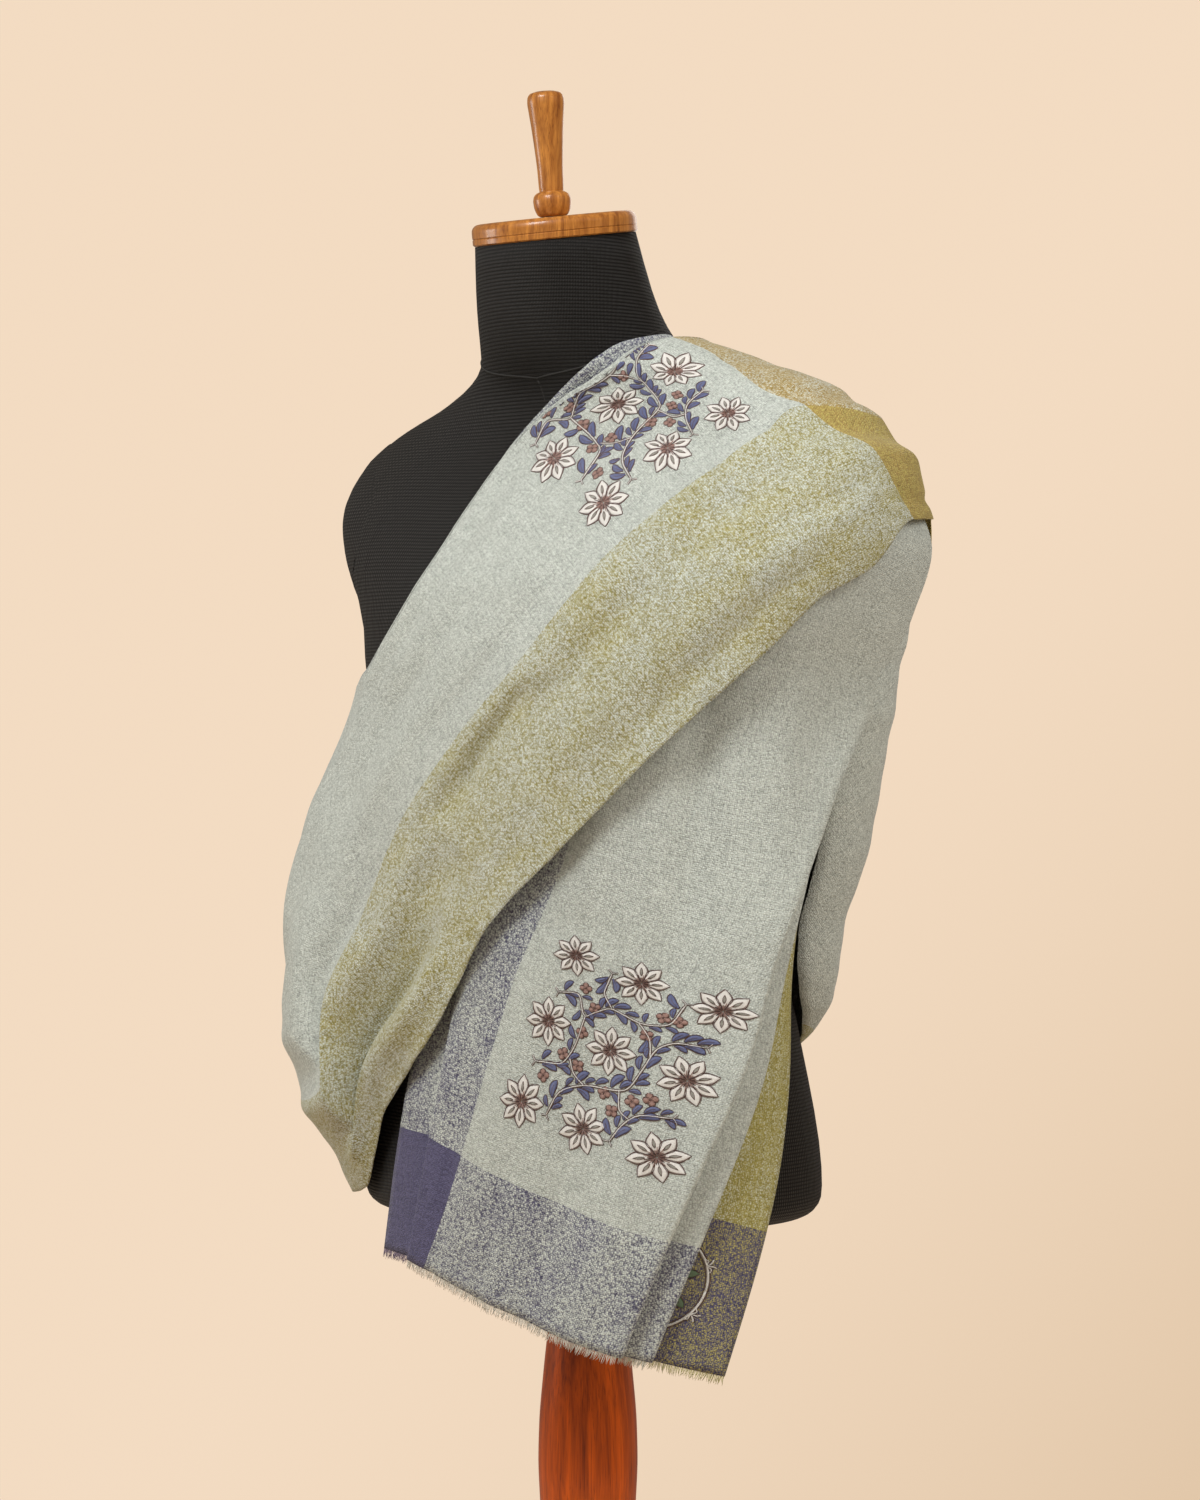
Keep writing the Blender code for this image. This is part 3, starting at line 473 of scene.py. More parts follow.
# ---- finishes
def principled(name: str) -> tuple[Material, NodeBoard, bpy.types.Node]:
    """Start a material and return it with its board and its shader."""
    material = bpy.data.materials.new(name)
    material.use_nodes = True
    return material, NodeBoard(material.node_tree), material.node_tree.nodes["Principled BSDF"]


def bump(board: NodeBoard, height: Any, strength: float, distance: float) -> Socket:
    """A normal raised by a height."""
    return board.add("Bump", {"Height": height, "Strength": strength, "Distance": distance}).outputs[0]


def rgba(colour: tuple[float, float, float]) -> tuple[float, float, float, float]:
    """Add full cover to a colour."""
    return (*colour, 1.0)


@dataclass(frozen=True)
class ShawlFinish:
    """Pashmina weave whose yarn colours follow the woven borders of the cut."""
    name: str = "pashmina_weave"
    mint: tuple = (0.45, 0.476, 0.436)
    olive: tuple = (0.345, 0.302, 0.09)
    indigo: tuple = (0.09, 0.084, 0.155)
    gold: tuple = (0.37, 0.265, 0.085)
    yarn: float = 0.0014
    border: float = 0.12
    indigo_line: float = 0.87
    end_border: float = 2.586
    end_slant: float = 0.19  # how far the end border runs off square beyond the olive border
    slant_end: float = 0.25  # u up to which it does
    fall_end: float = 0.818  # v up to which the olive border is darkened by painted shade
    even_balance: float = 0.5  # share of weft that shows on the field
    painted_shade_balance: float = 0.08  # and on the fall's olive border, set low so that it reads darker: painted shade on the hidden lowest layer
    end_balance: float = 0.24  # how much more shows in the gold end border and the dark corner
    sheen: float = 0.12

    def yarns(self, board: NodeBoard, place: Any, first: Any, last: Any) -> Socket:
        """Colour of the yarns that cross one direction of the cut.

        Args:
            board: Where the nodes go.
            place: Socket with the place across these yarns.
            first: Colour before the first border line, and that line's place.
            last: Colour after the last border line, and that line's place.

        Returns:
            The colour's socket.
        """
        colour = board.mix(board.join("LESS_THAN", place, first[1]), rgba(self.mint), rgba(first[0]))
        return board.mix(board.join("GREATER_THAN", place, last[1]), colour, rgba(last[0]))

    def balance(self, board: NodeBoard, u: Socket, v: Socket, slanted: Socket) -> Socket:
        """Share of weft over the cut, with more of it in the dark corner and the gold end border, and less on
        the fall's olive border as painted shade.

        Args:
            board: Where the nodes go.
            u: Place across the cut.
            v: Place along it.
            slanted: The same, where the end border runs off square.

        Returns:
            The share's socket.
        """
        in_olive = board.join("LESS_THAN", u, self.border)
        # Painted shade: the front fall's olive border, its hidden lowest layer, shows less mint weft and so
        # reads darker.
        painted_shade = board.times(in_olive, board.join("GREATER_THAN", v, self.border),
                              board.join("LESS_THAN", v, self.fall_end))
        corner = board.times(in_olive, board.join("LESS_THAN", v, self.border))
        dense = board.join("MAXIMUM", board.join("GREATER_THAN", slanted, self.end_border), corner)
        return board.plus(board.ramp(painted_shade, 0.0, 1.0, self.even_balance, self.painted_shade_balance),
                          board.times(dense, self.end_balance))

    def make(self) -> Material:
        """Build the material."""
        material, board, shader = principled(self.name)
        u, v = board.split(board.own_map("Cut"))[:2]
        farthest = self.end_slant * (self.slant_end - self.border)
        slanted = board.plus(v, board.ramp(u, self.border, self.slant_end, 0.0, farthest))
        weave = board.add("Group", {
            "Place": board.own_map("Weave"), "Solid Place": board.add("TexCoord").outputs["Object"],
            "Warp": self.yarns(board, u, (self.olive, self.border), (self.indigo, self.indigo_line)),
            "Weft": self.yarns(board, slanted, (self.indigo, self.border), (self.gold, self.end_border)),
            "Yarn": self.yarn, "Balance": self.balance(board, u, v, slanted)}, node_tree=heather_weave())
        board.feed(shader, {"Base Color": weave.outputs["Colour"], "Roughness": 0.88,
                            "Specular IOR Level": 0.2, "Sheen Weight": self.sheen, "Sheen Roughness": 0.45,
                            "Normal": bump(board, weave.outputs["Height"], 0.8, 0.0007)})
        return material


@dataclass(frozen=True)
class ThreadFinish:
    """Silky embroidery thread, or loose fringe yarn."""
    name: str
    colour: tuple
    thread: float = 0.0006
    sheen: float = 0.2
    roughness: float = 0.5

    def make(self) -> Material:
        """Build the material."""
        material, board, shader = principled(self.name)
        rows = board.add("Group", {"Thread": self.thread, "Place": board.own_map("Cut")},
                         node_tree=stitch_rows())
        board.feed(shader, {"Base Color": board.shaded(rgba(self.colour), rows.outputs["Shade"]),
                            "Roughness": self.roughness, "Sheen Weight": self.sheen,
                            "Normal": bump(board, rows.outputs["Height"], 0.6, 0.0002)})
        return material


@dataclass(frozen=True)
class CoverFinish:
    """The form's stretched black cover."""
    name: str = "black_plain_weave"
    colour: tuple = (0.0098, 0.0086, 0.0078)
    yarn: float = 0.0027
    # strength of small pale flecks scattered over the weave
    pale_fleck_strength: float = 1.6

    def make(self) -> Material:
        """Build the material."""
        material, board, shader = principled(self.name)
        weave = board.add("Group", {"Yarn": self.yarn, "Lint": self.pale_fleck_strength, "Place": board.own_map("Cut")},
                          node_tree=plain_weave())
        height = weave.outputs["Height"]
        board.feed(shader, {"Base Color": board.shaded(rgba(self.colour), weave.outputs["Shade"]),
                            "Roughness": board.ramp(height, 0.0, 1.0, 0.8, 0.5), "Specular IOR Level": 0.34,
                            "Normal": bump(board, height, 1.0, 0.0008)})
        return material


@dataclass(frozen=True)
class WoodFinish:
    """Varnished turned wood."""
    name: str
    dark: tuple
    light: tuple
    roughness: float
    coat: float
    coat_roughness: float
    scale: float = 1.0

    def make(self) -> Material:
        """Build the material."""
        material, board, shader = principled(self.name)
        grain = board.add("Group", {"Dark": rgba(self.dark), "Light": rgba(self.light), "Scale": self.scale,
                                    "Place": board.add("TexCoord").outputs["Object"]}, node_tree=wood_grain())
        rough = board.ramp(grain.outputs["Figure"], 0.0, 1.0, self.roughness + 0.08, self.roughness)
        board.feed(shader, {"Base Color": grain.outputs["Colour"], "Roughness": rough,
                            "Specular IOR Level": 0.3, "Coat Weight": self.coat,
                            "Coat Roughness": self.coat_roughness,
                            "Normal": bump(board, grain.outputs["Height"], 0.12, 0.0004)})
        return material


class Finish(Enum):
    """Every finish of the part."""
    SHAWL = ShawlFinish()
    COVER = CoverFinish()
    SEAM = ThreadFinish("black_seam_piping", (0.014, 0.013, 0.012), 0.0011, 0.0, 0.7)
    CAP_WOOD = WoodFinish("light_turned_wood", (0.21, 0.06, 0.008), (0.56, 0.225, 0.042),
                          roughness=0.36, coat=0.35, coat_roughness=0.16, scale=1.3)
    POST_WOOD = WoodFinish("red_brown_turned_wood", (0.2, 0.026, 0.001), (0.66, 0.102, 0.002),
                           roughness=0.36, coat=0.14, coat_roughness=0.12)
    CREAM_FRINGE = ThreadFinish("cream_fringe_yarn", (0.72, 0.68, 0.58), 0.0012, 0.3, 0.8)
    OLIVE_FRINGE = ThreadFinish("olive_fringe_yarn", (0.52, 0.47, 0.2), 0.0012, 0.3, 0.8)
    INDIGO_FRINGE = ThreadFinish("indigo_fringe_yarn", (0.22, 0.16, 0.24), 0.0012, 0.3, 0.8)
    WHITE_THREAD = ThreadFinish("white_thread", (0.8, 0.77, 0.72))
    BROWN_THREAD = ThreadFinish("brown_thread", (0.11, 0.048, 0.038))
    ROSE_THREAD = ThreadFinish("rose_brown_thread", (0.33, 0.19, 0.155))
    BLUE_THREAD = ThreadFinish("blue_thread", (0.112, 0.13, 0.262))
    GREEN_THREAD = ThreadFinish("green_thread", (0.11, 0.17, 0.095))
    SAGE_THREAD = ThreadFinish("sage_thread", (0.33, 0.32, 0.27))

    def material(self) -> Material:
        """The finish's material, made at its first use."""
        return bpy.data.materials.get(self.value.name) or self.value.make()


# ---- making meshes
def deselect() -> None:
    """Leave edit mode and select nothing."""
    if bpy.context.object is not None and bpy.context.object.mode != "OBJECT":
        bpy.ops.object.mode_set(mode="OBJECT")
    bpy.ops.object.select_all(action="DESELECT")


def take(piece: Piece) -> None:
    """Select one piece alone and make it active."""
    deselect()
    piece.select_set(True)
    bpy.context.view_layer.objects.active = piece


@contextmanager
def editing(piece: Piece) -> Iterator[None]:
    """Edit mode with all of one piece selected."""
    take(piece)
    bpy.ops.object.mode_set(mode="EDIT")
    bpy.ops.mesh.select_all(action="SELECT")
    yield
    bpy.ops.object.mode_set(mode="OBJECT")


def outward(piece: Piece) -> None:
    """Point a closed piece's faces outwards."""
    with editing(piece):
        bpy.ops.mesh.normals_make_consistent(inside=False)


def apply_modifier(piece: Piece, name: str, kind: str, **settings: Any) -> None:
    """Add one modifier to a piece and apply it."""
    modifier = piece.modifiers.new(name, kind)
    for setting, value in settings.items():
        setattr(modifier, setting, value)
    take(piece)
    bpy.ops.object.modifier_apply(modifier=name)


def solidify(piece: Piece, thickness: float) -> None:
    """Give a sheet an even thickness about its middle and close its edges."""
    apply_modifier(piece, "thickness", "SOLIDIFY", thickness=thickness, offset=0.0, use_even_offset=False)


def place_mesh(name: str, mesh: bpy.types.Mesh) -> Piece:
    """Put a mesh in the scene as a piece of its own."""
    piece = bpy.data.objects.new(name, mesh)
    bpy.context.scene.collection.objects.link(piece)
    return piece


def mesh_piece(name: str, points: Array, faces: list[tuple[int, ...]], finishes: list[Finish],
               cut: Array, slots: list[int] | None = None, weave: Array | None = None) -> Piece:
    """Make one smooth-shaded piece from its points and faces.

    Args:
        name: The piece's name.
        points: Its points.
        faces: Point numbers of each face.
        finishes: Its finishes, in the order of their slots.
        cut: Place on the flat cut for each corner of each face, for the "Cut" map.
        slots: The slot of each face.
        weave: The same for the "Weave" map, which keeps true size everywhere; the cut if None.

    Returns:
        The new object.
    """
    mesh = bpy.data.meshes.new(name)
    mesh.from_pydata(np.asarray(points).tolist(), [], faces)
    for finish in finishes:
        mesh.materials.append(finish.material())
    for title, places in (("Cut", cut), ("Weave", cut if weave is None else weave)):
        layer = mesh.uv_layers.new(name=title)
        layer.data.foreach_set("uv", np.asarray(places, np.float32).ravel())
    if slots is not None:
        mesh.polygons.foreach_set("material_index", np.asarray(slots, np.int32))
    mesh.shade_smooth()
    return place_mesh(name, mesh)


def grid_faces(rows: int, columns: int) -> list[tuple[int, ...]]:
    """Faces of a grid whose points are numbered row by row."""
    starts = (row * columns + column for row in range(rows - 1) for column in range(columns - 1))
    return [(here, here + columns, here + columns + 1, here + 1) for here in starts]


def tube_corners(levels: int, sides: int) -> Iterator[tuple[tuple[int, int], ...]]:
    """Level and side of the four corners of each face round a tube."""
    for level in range(levels):
        for side in range(sides):
            after = (side + 1) % sides
            yield (level, side), (level + 1, side), (level + 1, after), (level, after)


class ClothStrip(NamedTuple):
    """A grid of cloth, with the place of its points on the cut and laid out flat."""
    numbers: Array  # of its points in the piece
    u: Array
    v: Array  # one for each row
    flat: Array

    def cut(self) -> Array:
        """Each point's place on the cut."""
        return np.stack([self.u, np.broadcast_to(self.v[:, None], self.u.shape)], -1)

    def corners(self, places: Array) -> Array:
        """The places of all points, sorted by the corners of the faces."""
        return places.reshape(-1, 2)[np.array(grid_faces(*self.numbers.shape)).ravel()]

    def faces(self) -> list[list[int]]:
        """Point numbers of each face."""
        return self.numbers.ravel()[np.array(grid_faces(*self.numbers.shape))].tolist()


def cloth_piece(name: str, points: Array, cut: Array, thickness: float) -> Piece:
    """Make one grid of cloth a piece.

    Args:
        name: The piece's name.
        points: Its points, in rows.
        cut: Their places on the cut, in rows too.
        thickness: The cloth's thickness.

    Returns:
        The new object.
    """
    faces = grid_faces(*points.shape[:2])
    piece = mesh_piece(name, points.reshape(-1, 3), faces, [Finish.SHAWL],
                       cut.reshape(-1, 2)[np.array(faces).ravel()])
    solidify(piece, thickness)
    return piece


# ---- the worn cloth
class RunRow(NamedTuple):
    """One line across the worn cloth, from its upper edge down to the olive edge.

    Each of the four places is (turn, height, out in millimetres).
    """
    along: float  # v
    width: float  # metres of cloth from the olive edge to the upper edge
    edge: tuple  # the upper edge
    crown: tuple  # halfway between the upper edge and the border
    border: tuple  # the inner line of the olive border
    olive: tuple  # the olive edge


RUN_ROWS = tuple(RunRow(*row) for row in (
    (0.818, 0.6, (90, 1.445, 9.5), (96.2, 1.413, 9.9), (102.4, 1.382, 12.3), (105.5, 1.366, 15)),
    (0.87, 0.6, (118, 1.444, 7), (113, 1.409, 9), (112.5, 1.372, 12), (112.5, 1.342, 20)),
    (0.92, 0.6, (138, 1.432, 7), (127, 1.382, 9), (118.5, 1.34, 16), (115, 1.304, 29)),
    (1.02, 0.62, (156, 1.405, 4), (139, 1.31, 12), (122, 1.255, 24), (114, 1.22, 41)),
    (1.12, 0.64, (170, 1.376, 2), (153, 1.235, 12), (132, 1.155, 22), (117, 1.12, 35)),
    (1.225, 0.66, (183, 1.35, 0), (167, 1.17, 12), (146, 1.075, 18), (121, 1.01, 12)),
    (1.3, 0.66, (193, 1.328, -0.2), (180, 1.135, 13), (159, 1.03, 16), (134, 0.955, 9)),
    (1.385, 0.64, (203, 1.305, -0.2), (193, 1.105, 14), (177, 0.99, 15), (160, 0.905, 8)),
    (1.47, 0.62, (212, 1.282, -0.5), (205, 1.08, 16), (198, 0.96, 15), (191, 0.862, 7)),
    (1.56, 0.6, (222, 1.258, -2), (222, 1.058, 24), (226, 0.93, 19), (224, 0.83, 6)),
    (1.63, 0.57, (230, 1.24, -4), (236, 1.045, 36), (252, 0.908, 27), (250, 0.817, 6)),
    (1.7, 0.53, (238, 1.226, -6.4), (249, 1.035, 48), (279, 0.893, 38), (276, 0.813, 6)),
    (1.76, 0.49, (245, 1.218, -8), (263, 1.028, 56), (303, 0.888, 46), (298, 0.815, 6)),
    (1.826, 0.45, (252, 1.213, -9), (280, 1.025, 61), (318.5, 0.904, 50), (313, 0.823, 6)),
    (1.886, 0.42, (263, 1.21, -10), (294, 1.048, 60), (315, 0.963, 46), (325.7, 0.883, 10)),
    (1.986, 0.37, (281, 1.208, -5), (300, 1.1, 44), (322, 1.034, 29), (349, 0.947, 20)),
    (2.086, 0.32, (299, 1.212, -2), (312, 1.145, 20), (333.4, 1.1, 20), (370.7, 1.027, 24)),
    (2.186, 0.26, (311, 1.222, 4), (333, 1.192, 12), (354.6, 1.164, 18), (394.1, 1.09, 26)),
    (2.286, 0.26, (331.7, 1.294, 8), (358.6, 1.261, 13), (381.2, 1.229, 19), (413.7, 1.159, 27)),
    (2.386, 0.26, (340, 1.386, 8), (382.5, 1.34, 14), (403.4, 1.298, 20), (428.8, 1.222, 28)),
    (2.486, 0.25, (405.4, 1.449, 13), (416.8, 1.402, 17), (423.9, 1.355, 21), (441.1, 1.288, 29)),
    (2.536, 0.25, (422, 1.455, 17), (428, 1.418, 18), (432.2, 1.379, 21), (447.3, 1.307, 32)),
    (2.586, 0.25, (455, 1.46, 20), (440, 1.426, 16.5), (440.5, 1.403, 16.5), (455.1, 1.334, 31)),
    (2.64, 0.25, (482, 1.454, 18.5), (464, 1.424, 16), (460, 1.396, 16), (466, 1.336, 33)),
    (2.7, 0.25, (500, 1.437, 14), (484, 1.398, 15), (476, 1.36, 20), (472, 1.306, 38)),
))


class Fold(NamedTuple):
    """A long soft trough (negative depth) or ridge in the worn cloth."""
    from_v: float
    from_u: float
    to_v: float
    to_u: float
    depth: float  # millimetres
    spread: float  # millimetres, from its middle to where it fades


RUN_FOLDS = tuple(Fold(*row) for row in (
    # the large ones, as in the solids
    (1.66, 0.05, 1.93, 0.055, -4, 24),
    (1.84, 0.085, 2.12, 0.06, -12, 20),
    (1.0, 0.3, 1.6, 0.26, 13, 38),
    (1.02, 0.22, 1.62, 0.18, -9, 32),
    (0.98, 0.42, 1.52, 0.36, -8, 36),
    (1.0, 0.52, 1.56, 0.46, 8, 34),
    # along the sash, over the chest
    (2.04, 0.072, 2.66, 0.096, -5.0, 12),
    (2.1, 0.04, 2.6, 0.05, 3.4, 13),
    (2.16, 0.148, 2.54, 0.132, -3.0, 12),
    (2.3, 0.176, 2.58, 0.158, 2.2, 12),
    (2.4, 0.112, 2.68, 0.126, 2.8, 10),
    (2.24, 0.014, 2.5, 0.026, -2.8, 9),
    (2.0, 0.196, 2.34, 0.206, -3.6, 13),
    (1.96, 0.262, 2.24, 0.238, 3.2, 12),
    (2.14, 0.238, 2.4, 0.24, -2.4, 8),
    (2.3, 0.218, 2.52, 0.228, 1.8, 7),
    (2.08, 0.112, 2.4, 0.106, 2.6, 10),
    (1.98, 0.16, 2.22, 0.17, 2.4, 10),
    (2.44, 0.06, 2.6, 0.052, -2.4, 8),
    # round the right side, where the cloth turns up from the hip
    (1.7, 0.11, 1.98, 0.105, 6.5, 15),
    (1.76, 0.145, 2.05, 0.125, -5.5, 13),
    (1.64, 0.19, 1.98, 0.165, 4.5, 15),
    (1.6, 0.25, 2.02, 0.215, -4.5, 16),
    (1.58, 0.33, 1.95, 0.29, 4.0, 18),
    (1.86, 0.022, 2.05, 0.026, 4.5, 9),
    (1.92, 0.096, 2.1, 0.092, 3.5, 9),
    # the sharp crease in the olive border, and its lips
    (1.8, 0.075, 2.06, 0.046, -14.0, 10),
    (1.8, 0.044, 2.04, 0.024, 7.0, 11),
    (1.85, 0.102, 2.06, 0.076, 4.0, 10),
    (2.12, 0.09, 2.27, 0.102, -9.0, 10),
    (2.1, 0.068, 2.28, 0.08, 2.4, 9),
    # down the back
    (0.9, 0.15, 1.42, 0.115, -5.5, 16),
    (0.96, 0.085, 1.36, 0.06, 4.6, 15),
    (1.05, 0.27, 1.45, 0.235, -4.0, 12),
    (0.92, 0.37, 1.3, 0.34, 5.0, 17),
    (1.1, 0.47, 1.46, 0.425, -4.8, 15),
    (1.18, 0.57, 1.6, 0.53, -4.0, 14),
    (0.9, 0.48, 1.14, 0.47, -4.2, 14),
    (1.46, 0.12, 1.74, 0.09, 5.0, 15),
    (1.42, 0.3, 1.7, 0.33, -4.4, 14),
    (1.5, 0.42, 1.82, 0.37, 4.4, 16),
    # over the shoulder
    (2.5, 0.215, 2.69, 0.205, -2.2, 9),
    (2.56, 0.06, 2.7, 0.075, 3.4, 11),
    (2.6, 0.15, 2.7, 0.16, -3.2, 11),
    (2.58, 0.02, 2.7, 0.03, -2.6, 9),
))


FOLD_LENGTH_SHARE = 0.5  # how much less a fold fades for each metre along the cloth than across it
FOLD_FADE = 0.6  # the lower, the sooner a fold reaches its depth


def fold_out(folds: tuple[Fold, ...], along: Array, across: Array) -> Array:
    """How far folds push a place of the cloth out, in metres.

    Args:
        folds: The folds.
        along: Places along the cloth.
        across: Places across it.

    Returns:
        Metres, one for each place.
    """
    out = np.zeros(np.broadcast(along, across).shape)
    for fold in folds:
        start = np.array([fold.from_v, fold.from_u])
        path = np.array([fold.to_v, fold.to_u]) - start
        share = ((along - start[0]) * path[0] + (across - start[1]) * path[1]) / (path @ path)
        nearest = np.clip(share, 0, 1)
        off_along = along - start[0] - nearest * path[0]
        off_across = across - start[1] - nearest * path[1]
        distance = np.hypot(off_along * FOLD_LENGTH_SHARE, off_across)
        fade = np.sin(np.pi * nearest) ** FOLD_FADE
        out = out + fold.depth * MM * fade * np.exp(-(distance / MM / fold.spread) ** 2)
    return out


@dataclass
class WornCloth:
    """The shawl from the shoulder, down the back, round the right hip and up over the chest.

    It is one sheet here, and stands for the solids' back drape, side loop, sash and end tail.
    """
    start: float = RUN_ROWS[0].along
    end: float = RUN_ROWS[-1].along
    border: float = 0.12
    thickness: float = 0.0008
    step: float = 0.0061
    hook_start: float = 2.036  # where the upper edge is folded under
    hook_end: float = 2.612
    hook_depth: float = 0.036
    hook_drop: float = 0.0052
    hook_fade: float = 0.12
    hook_least: float = 0.12
    full_width: float = 1.0
    curl_start: float = 0.862  # where the olive selvedge curls forward, behind the left arm
    curl_end: float = 1.388
    curl_reach: float = 19.0  # degrees that it curls forward
    curl_depth: float = 28.0  # millimetres that it curls in
    curl_drop: float = 0.004
    curl_width: float = 0.22  # metres of cloth rolled in there
    curl_shown: float = 0.075  # metres of it on the curl itself
    slip_start: float = 1.6  # where the indigo selvedge starts to slip under the upper edge
    slip_end: float = 2.0
    flutter_height: float = 0.7  # millimetres that the olive selvedge waves
    flutter_reach: float = 0.016
    flat_rows: int = 48  # the coarse grid that is laid out flat, its rounds and its pull
    flat_columns: int = 13
    flat_rounds: int = 2500
    flat_pull: float = 0.12

    def width(self, along: Any) -> Array:
        """Metres of cloth between the olive edge and the upper edge."""
        return smooth([row.along for row in RUN_ROWS], [row.width for row in RUN_ROWS], along)

    def place(self, along: Any, across: Any) -> list[Array]:
        """Turn, height and millimetres out of places on the cloth, before its folds.

        Args:
            along: v of each place.
            across: Metres up from the olive edge.

        Returns:
            The three arrays.
        """
        knots = [row.along for row in RUN_ROWS]
        full = self.width(along)
        marks = [np.zeros_like(full), np.full_like(full, self.border), (full + self.border) / 2, full]
        lines, result = ("olive", "border", "crown", "edge"), []
        for part in range(3):
            values = [smooth(knots, [getattr(row, line)[part] for row in RUN_ROWS], along) for line in lines]
            result.append(four_point_curve(across, marks, values))
        return result

    def flutter(self, along: Array, across: Array) -> Array:
        """Small uneven waves of the olive selvedge, in metres."""
        near = np.exp(-np.clip(across, 0, None) / self.flutter_reach)
        wave = np.sin(along * 61) + 0.7 * np.sin(along * 103 + 1.3) + 0.5 * np.sin(along * 187 + 0.4)
        return self.flutter_height * MM * near * wave

    def point(self, along: Any, across: Any, lift: Any = 0.0) -> Array:
        """Places on the cloth's middle surface.

        Args:
            along: v of each place.
            across: Metres up from the olive edge.
            lift: Metres off the surface.

        Returns:
            Points, one for each pair.
        """
        along, across = np.broadcast_arrays(np.asarray(along, float), np.asarray(across, float))
        turn, height, out = self.place(along, across)
        away = out * MM + fold_out(RUN_FOLDS, along, across) + self.flutter(along, across) + lift
        return DRAPE.off(turn, height, away)

    def rolled(self, along: Array) -> Array:
        """How fully the olive border is curled in, from 0 to 1."""
        return smooth((0.86, 0.96, 1.27, 1.39), (0.0, 1.0, 1.0, 0.0), along)

    def lower_u(self, along: Array, across: Array) -> Array:
        """Place across the cut, read from the olive edge, part of which may be rolled in."""
        return across + self.curl_width * self.rolled(along)

    def upper_u(self, along: Array, across: Array) -> Array:
        """Place across the cut, read from the upper edge: part of the cut is folded away below it."""
        full = self.width(along)
        share = np.clip((along - self.slip_start) / (self.slip_end - self.slip_start), 0, 1)
        return self.full_width + (full - self.full_width) * share - (full - across)

    def hook(self, along: Array) -> tuple[Array, Array]:
        """The upper edge where it is folded under.

        Args:
            along: v of each row.

        Returns:
            The points, and their metres up from the olive edge along the cloth.
        """
        top = self.width(along)
        radius = self.hook_drop / 2
        from_ends = np.minimum(along - self.hook_start, self.hook_end - along) / self.hook_fade
        depth = self.hook_depth * np.clip(from_ends, self.hook_least, 1.0)
        points, across = [], []
        for turn in np.radians((30, 60, 90, 120, 150, 180)):
            drop, sink = radius * (1 - math.sin(turn)), radius * (1 - math.cos(turn))
            points.append(self.point(along, top - drop, -sink))
            across.append(top + radius * turn)
        for part in np.linspace(0.15, 1.0, 6):
            points.append(self.point(along, top - radius - depth * part, -self.hook_drop))
            across.append(top + radius * math.pi + depth * part)
        return np.stack(points, 1), np.stack(across, 1)

    def curl(self, along: Array) -> tuple[Array, Array]:
        """The olive selvedge where it curls forward, behind the left arm.

        Args:
            along: v of each row.

        Returns:
            The points, from the tip of the curl to the cloth, and each one's share of the curl.
        """
        full = self.rolled(along)
        turn, height, out = self.place(along, np.zeros_like(along))
        points = []
        shares = np.linspace(1.0, 0.0, 9)[:-1]
        for share in shares:
            part = share * full
            sink = self.curl_depth * (1.5 * share - 0.5) * part
            points.append(DRAPE.off(turn - self.curl_reach * part, height - self.curl_drop * part,
                                    (out - sink) * MM + self.flutter(along, 0 * along)))
        return np.stack(points, 1), shares

    def unrolled(self, rows: int, columns: int) -> Array:
        """The worn sheet's grid laid out flat, with its lengths kept as well as they can be.

        Args:
            rows: Rows of the grid, along the cloth.
            columns: Columns, from the olive edge to the upper edge.

        Returns:
            Flat places, one for each point of the grid.
        """
        along_share, across_share = np.linspace(0, 1, self.flat_rows), np.linspace(0, 1, self.flat_columns)
        along = (self.start + (self.end - self.start) * along_share)[:, None] + 0 * across_share
        across = self.width(along) * across_share
        worn = self.point(along, across)
        flat = np.stack([across, along], -1)
        every, early, late = slice(None), slice(None, -1), slice(1, None)
        pairs = (((every, early), (every, late)), ((early, every), (late, every)),
                 ((early, early), (late, late)), ((early, late), (late, early)))
        lengths = [np.linalg.norm(worn[near] - worn[far], axis=-1) for near, far in pairs]
        for _ in range(self.flat_rounds):
            move = np.zeros_like(flat)
            for (near, far), length in zip(pairs, lengths):
                gap = flat[far] - flat[near]
                size = np.maximum(np.linalg.norm(gap, axis=-1), 1e-9)
                pull = gap * ((1 - length / size) * self.flat_pull)[..., None]
                move[near] += pull
                move[far] -= pull
            flat += move
        result = []
        for part in (flat[..., 0], flat[..., 1]):
            wide = np.array([smooth(across_share, line, np.linspace(0, 1, columns)) for line in part])
            long = [smooth(along_share, line, np.linspace(0, 1, rows)) for line in wide.T]
            result.append(np.stack(long, 1))
        return np.stack(result, -1)

    def build(self) -> Piece:
        """Make the sheet with its hooked-under upper edge, its curled selvedge and its thickness."""
        rows = round((self.end - self.start) / self.step) + 1
        columns = round(max(row.width for row in RUN_ROWS) / self.step) + 1
        along = np.linspace(self.start, self.end, rows)
        width, line = self.width(along), along[:, None]
        across = width[:, None] * np.linspace(0, 1, columns)
        points = self.point(line, across)
        hooked = (along >= self.hook_start) & (along <= self.hook_end)
        curled = (along >= self.curl_start) & (along <= self.curl_end)
        points[hooked, -1] = self.point(along[hooked], width[hooked] - self.hook_drop / 2)
        flat = self.unrolled(rows, columns)
        numbers = np.arange(rows * columns).reshape(rows, columns)
        strips = []
        half = columns // 2
        for part, read in ((slice(half + 1), self.lower_u), (slice(half, None), self.upper_u)):
            strips.append(ClothStrip(numbers[:, part], read(line, across[:, part]), along, flat[:, part]))

